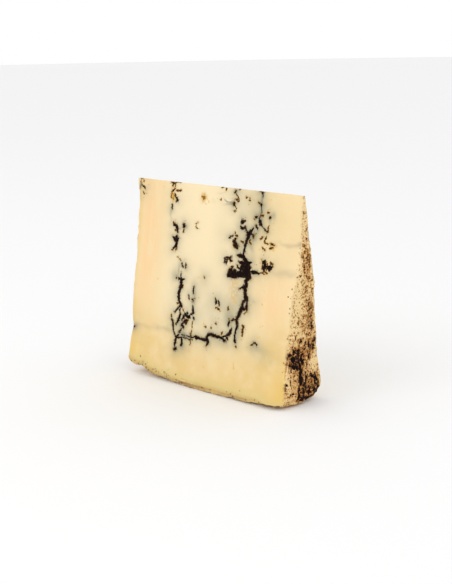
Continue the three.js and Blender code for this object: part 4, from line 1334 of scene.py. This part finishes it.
def crust_marks(n, place):
    """How deep in a mark the rind is: grainy blotches, and dots pressed in by a cloth."""
    grit, strength = n.cells(place, 1.05)
    grains = n.times(n.add(grit, -0.45), n.add(n.times(strength, -0.9), -0.5))
    fine = n.wobble(place, 0.45, 0.9)
    blotches = n.add(n.add(n.field("blotch"), -0.56), n.times(n.field("tone"), 0.25))
    blotches = n.add(n.add(blotches, grains), n.add(n.wobble(place, 1.4, 0.5), fine))
    along = n.add(n.field("along"), n.wobble(place, 5.0, 2.6))
    through = n.add(n.field("through"), n.wobble(place, 6.0, 3.0))
    weave = n.vector(n.math("DIVIDE", along, 1.2), n.math("DIVIDE", through, 1.4), 0.0)
    distance, chance = n.cells(weave, 1.0, 0.8, flat=True)
    reach = n.add(n.times(n.field("tone"), 0.4), n.times(n.add(chance, -0.7), 0.6))
    dots = n.math("SUBTRACT", reach, n.add(distance, n.times(fine, 0.6)))
    return n.most(blotches, dots)


def crust_colour(n, place, depth):
    """The rind: cream to dark brown by its tone, and each mark golden, then brown, then nearly black."""
    cloud = n.times(n.noise(place, 1.1, 3.0, 0.65), 1.5)
    near_cut = n.step(n.add(n.field("inset"), n.wobble(place, 2.0, 3.0)), -3.5, -0.8)
    warmth = n.add(n.add(cloud, n.field("tone")), -0.25)
    warmth = n.times(warmth, n.math("SUBTRACT", 1.0, n.times(near_cut, 0.5)))
    ground = n.mix(n.step(warmth, 0.6, 1.05), CRUST_PALE, CRUST_TAN)
    ground = n.mix(n.times(n.step(warmth, 1.0, 1.5), 0.8), ground, CRUST_BROWN)
    ground = n.mix(n.times(n.step(warmth, 1.45, 1.95), 0.8), ground, CRUST_DARK)
    colour = n.mix(n.times(n.step(depth, -0.42, -0.12), 0.9), ground, CRUST_GOLD)
    scraped = n.step(n.noise(n.stretched(place, (1.0, 1.0, 0.55)), 0.75, 2.0), 0.51, 0.6)
    colour = n.mix(n.times(scraped, 0.62), colour, CRUST_PALE)
    flecks = n.step(n.noise(place, 0.7, 2.0), 0.42, 0.62)
    brown = n.mix(flecks, MARK_BROWN, CRUST_BROWN)
    colour = n.mix(n.times(n.step(depth, -0.08, 0.08), 0.9), colour, brown)
    return n.mix(n.step(n.add(depth, n.times(flecks, -0.12)), 0.06, 0.22), colour, MARK_BLACK)


def with_sole(n, place, colour):
    """The cut face above the heel: olive, then a pale crumbly band, then a brown line."""
    low = n.step(n.add(n.field("sole"), n.wobble(place, 5.0, 3.0)), 9.0, 3.0)
    colour = n.mix(n.times(low, 0.7), colour, OLIVE)
    last = n.step(n.add(n.field("sole"), n.wobble(place, 3.0, 1.6)), 4.0, 1.2)
    colour = n.mix(n.times(last, 0.85), colour, SOLE_OLIVE)
    up = n.add(n.field("sole"), n.wobble(place, 1.4, 0.9))
    band = n.times(n.step(up, 2.6, 2.0), n.step(n.noise(place, 1.6), 0.42, 0.6))
    band = n.times(band, n.field("browned"))
    colour = n.mix(n.times(band, 0.6), colour, CRUST_PALE)
    line = n.times(n.step(up, 1.9, 1.3), n.field("browned"))
    return n.mix(n.times(line, 0.95), colour, SOLE_BROWN)


def cheese_material():
    n = Nodes("cheese")
    place = n.place()
    masks = truffle_masks(n, place)
    paste = with_truffle(n, place, paste_colour(n, place), masks)
    paste = with_sole(n, place, paste)
    stray = specks(n, place, 1.5, 0.7, n.field("stray"), 0.32)
    stray_colour = n.mix(n.step(n.noise(place, 1.2), 0.42, 0.58), MARK_BROWN, RUST)
    paste = n.mix(n.times(stray, 0.85), paste, stray_colour)
    depth = crust_marks(n, place)
    marks = n.step(depth, -0.1, 0.15)
    crust = crust_colour(n, place, depth)
    border = n.add(n.field("inset"), n.wobble(place, 1.2, 2.0))
    on_cut = n.step(border, -1.8, 1.0)
    n.put(n.mix(on_cut, crust, paste), n.shader.inputs["Base Color"])

    truffle = n.most(masks["core"], masks["brown"])
    n.put(n.blend(on_cut, 0.8, n.blend(truffle, 0.45, 0.75)), n.shader.inputs["Roughness"])

    grain = n.times(n.noise(place, 0.7, 3.0, 0.6), 0.12)
    smear = n.times(n.noise(place, 5.0, 2.0), 0.4)
    pits = n.times(n.times(truffle, n.noise(place, 0.35, 2.0)), -0.6)
    paste_height = n.add(n.add(grain, smear), pits)
    crust_height = n.add(n.times(marks, -0.6), n.times(n.noise(place, 0.8, 4.0, 0.65), 1.0))
    n.put(n.bump(n.blend(on_cut, crust_height, paste_height), 0.35), n.shader.inputs["Normal"])

    n.shader.inputs["Subsurface Weight"].default_value = 0.15
    n.shader.inputs["Subsurface Radius"].default_value = (1.0, 0.65, 0.35)
    n.shader.inputs["Subsurface Scale"].default_value = 0.0007
    n.shader.inputs["Specular IOR Level"].default_value = 0.05
    return n.material


def dressed_wedge():
    mesh, middle = wedge_mesh()
    paint_fields(mesh, middle)
    mesh.shade_smooth()
    wedge = bpy.data.objects.new("cheese", mesh)
    bpy.context.collection.objects.link(wedge)
    mesh.materials.append(cheese_material())
    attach(wedge, "root")
    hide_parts("cheese_wedge")
    return wedge


def plain_material(name, colour, roughness):
    n = Nodes(name)
    n.shader.inputs["Base Color"].default_value = colour
    n.shader.inputs["Roughness"].default_value = roughness
    return n.material


def make_floor():
    bpy.ops.mesh.primitive_circle_add(vertices=64, radius=6.0, fill_type="NGON")
    floor = bpy.context.object
    floor.name = "floor"
    floor.data.materials.append(plain_material("floor", tone(250, 250, 250), 0.9))


def area_light(name, place, size, power):
    data = bpy.data.lights.new(name, "AREA")
    data.shape = "DISK"
    data.size = size
    data.energy = power
    light = bpy.data.objects.new(name, data)
    light.location = place
    light.rotation_euler = (Vector((0, 0, 0.05)) - Vector(place)).to_track_quat("-Z", "Y").to_euler()
    bpy.context.collection.objects.link(light)


def make_lights():
    area_light("key", (-0.2, -1.2, 1.0), 0.9, 3.5)
    area_light("fill", (1.2, -0.5, 0.7), 0.9, 1.0)
    world = bpy.data.worlds.new("studio")
    world.use_nodes = True
    background = world.node_tree.nodes["Background"]
    background.inputs["Color"].default_value = (1.0, 1.0, 1.0, 1.0)
    background.inputs["Strength"].default_value = 1.0
    bpy.context.scene.world = world
    bpy.context.scene.view_settings.view_transform = "Standard"


def make_camera():
    flat = math.cos(CAMERA_ELEVATION)
    back = Vector((
        math.sin(CAMERA_AZIMUTH) * flat,
        -math.cos(CAMERA_AZIMUTH) * flat,
        math.sin(CAMERA_ELEVATION),
    ))
    right = (-back).cross(Vector((0, 0, 1))).normalized()
    up = right.cross(-back)
    tilt_right = right * math.cos(CAMERA_ROLL) + up * math.sin(CAMERA_ROLL)
    tilt_up = up * math.cos(CAMERA_ROLL) - right * math.sin(CAMERA_ROLL)
    turn = Matrix((tilt_right, tilt_up, back)).transposed().to_4x4()
    data = bpy.data.cameras.new("camera")
    data.lens = CAMERA_LENS
    data.sensor_width = 36.0
    data.clip_start = 0.01
    camera = bpy.data.objects.new("camera", data)
    camera.matrix_world = Matrix.Translation(CAMERA_TARGET + back * CAMERA_DISTANCE) @ turn
    bpy.context.collection.objects.link(camera)
    bpy.context.scene.camera = camera


make_camera()
make_lights()
make_floor()
dressed_wedge()
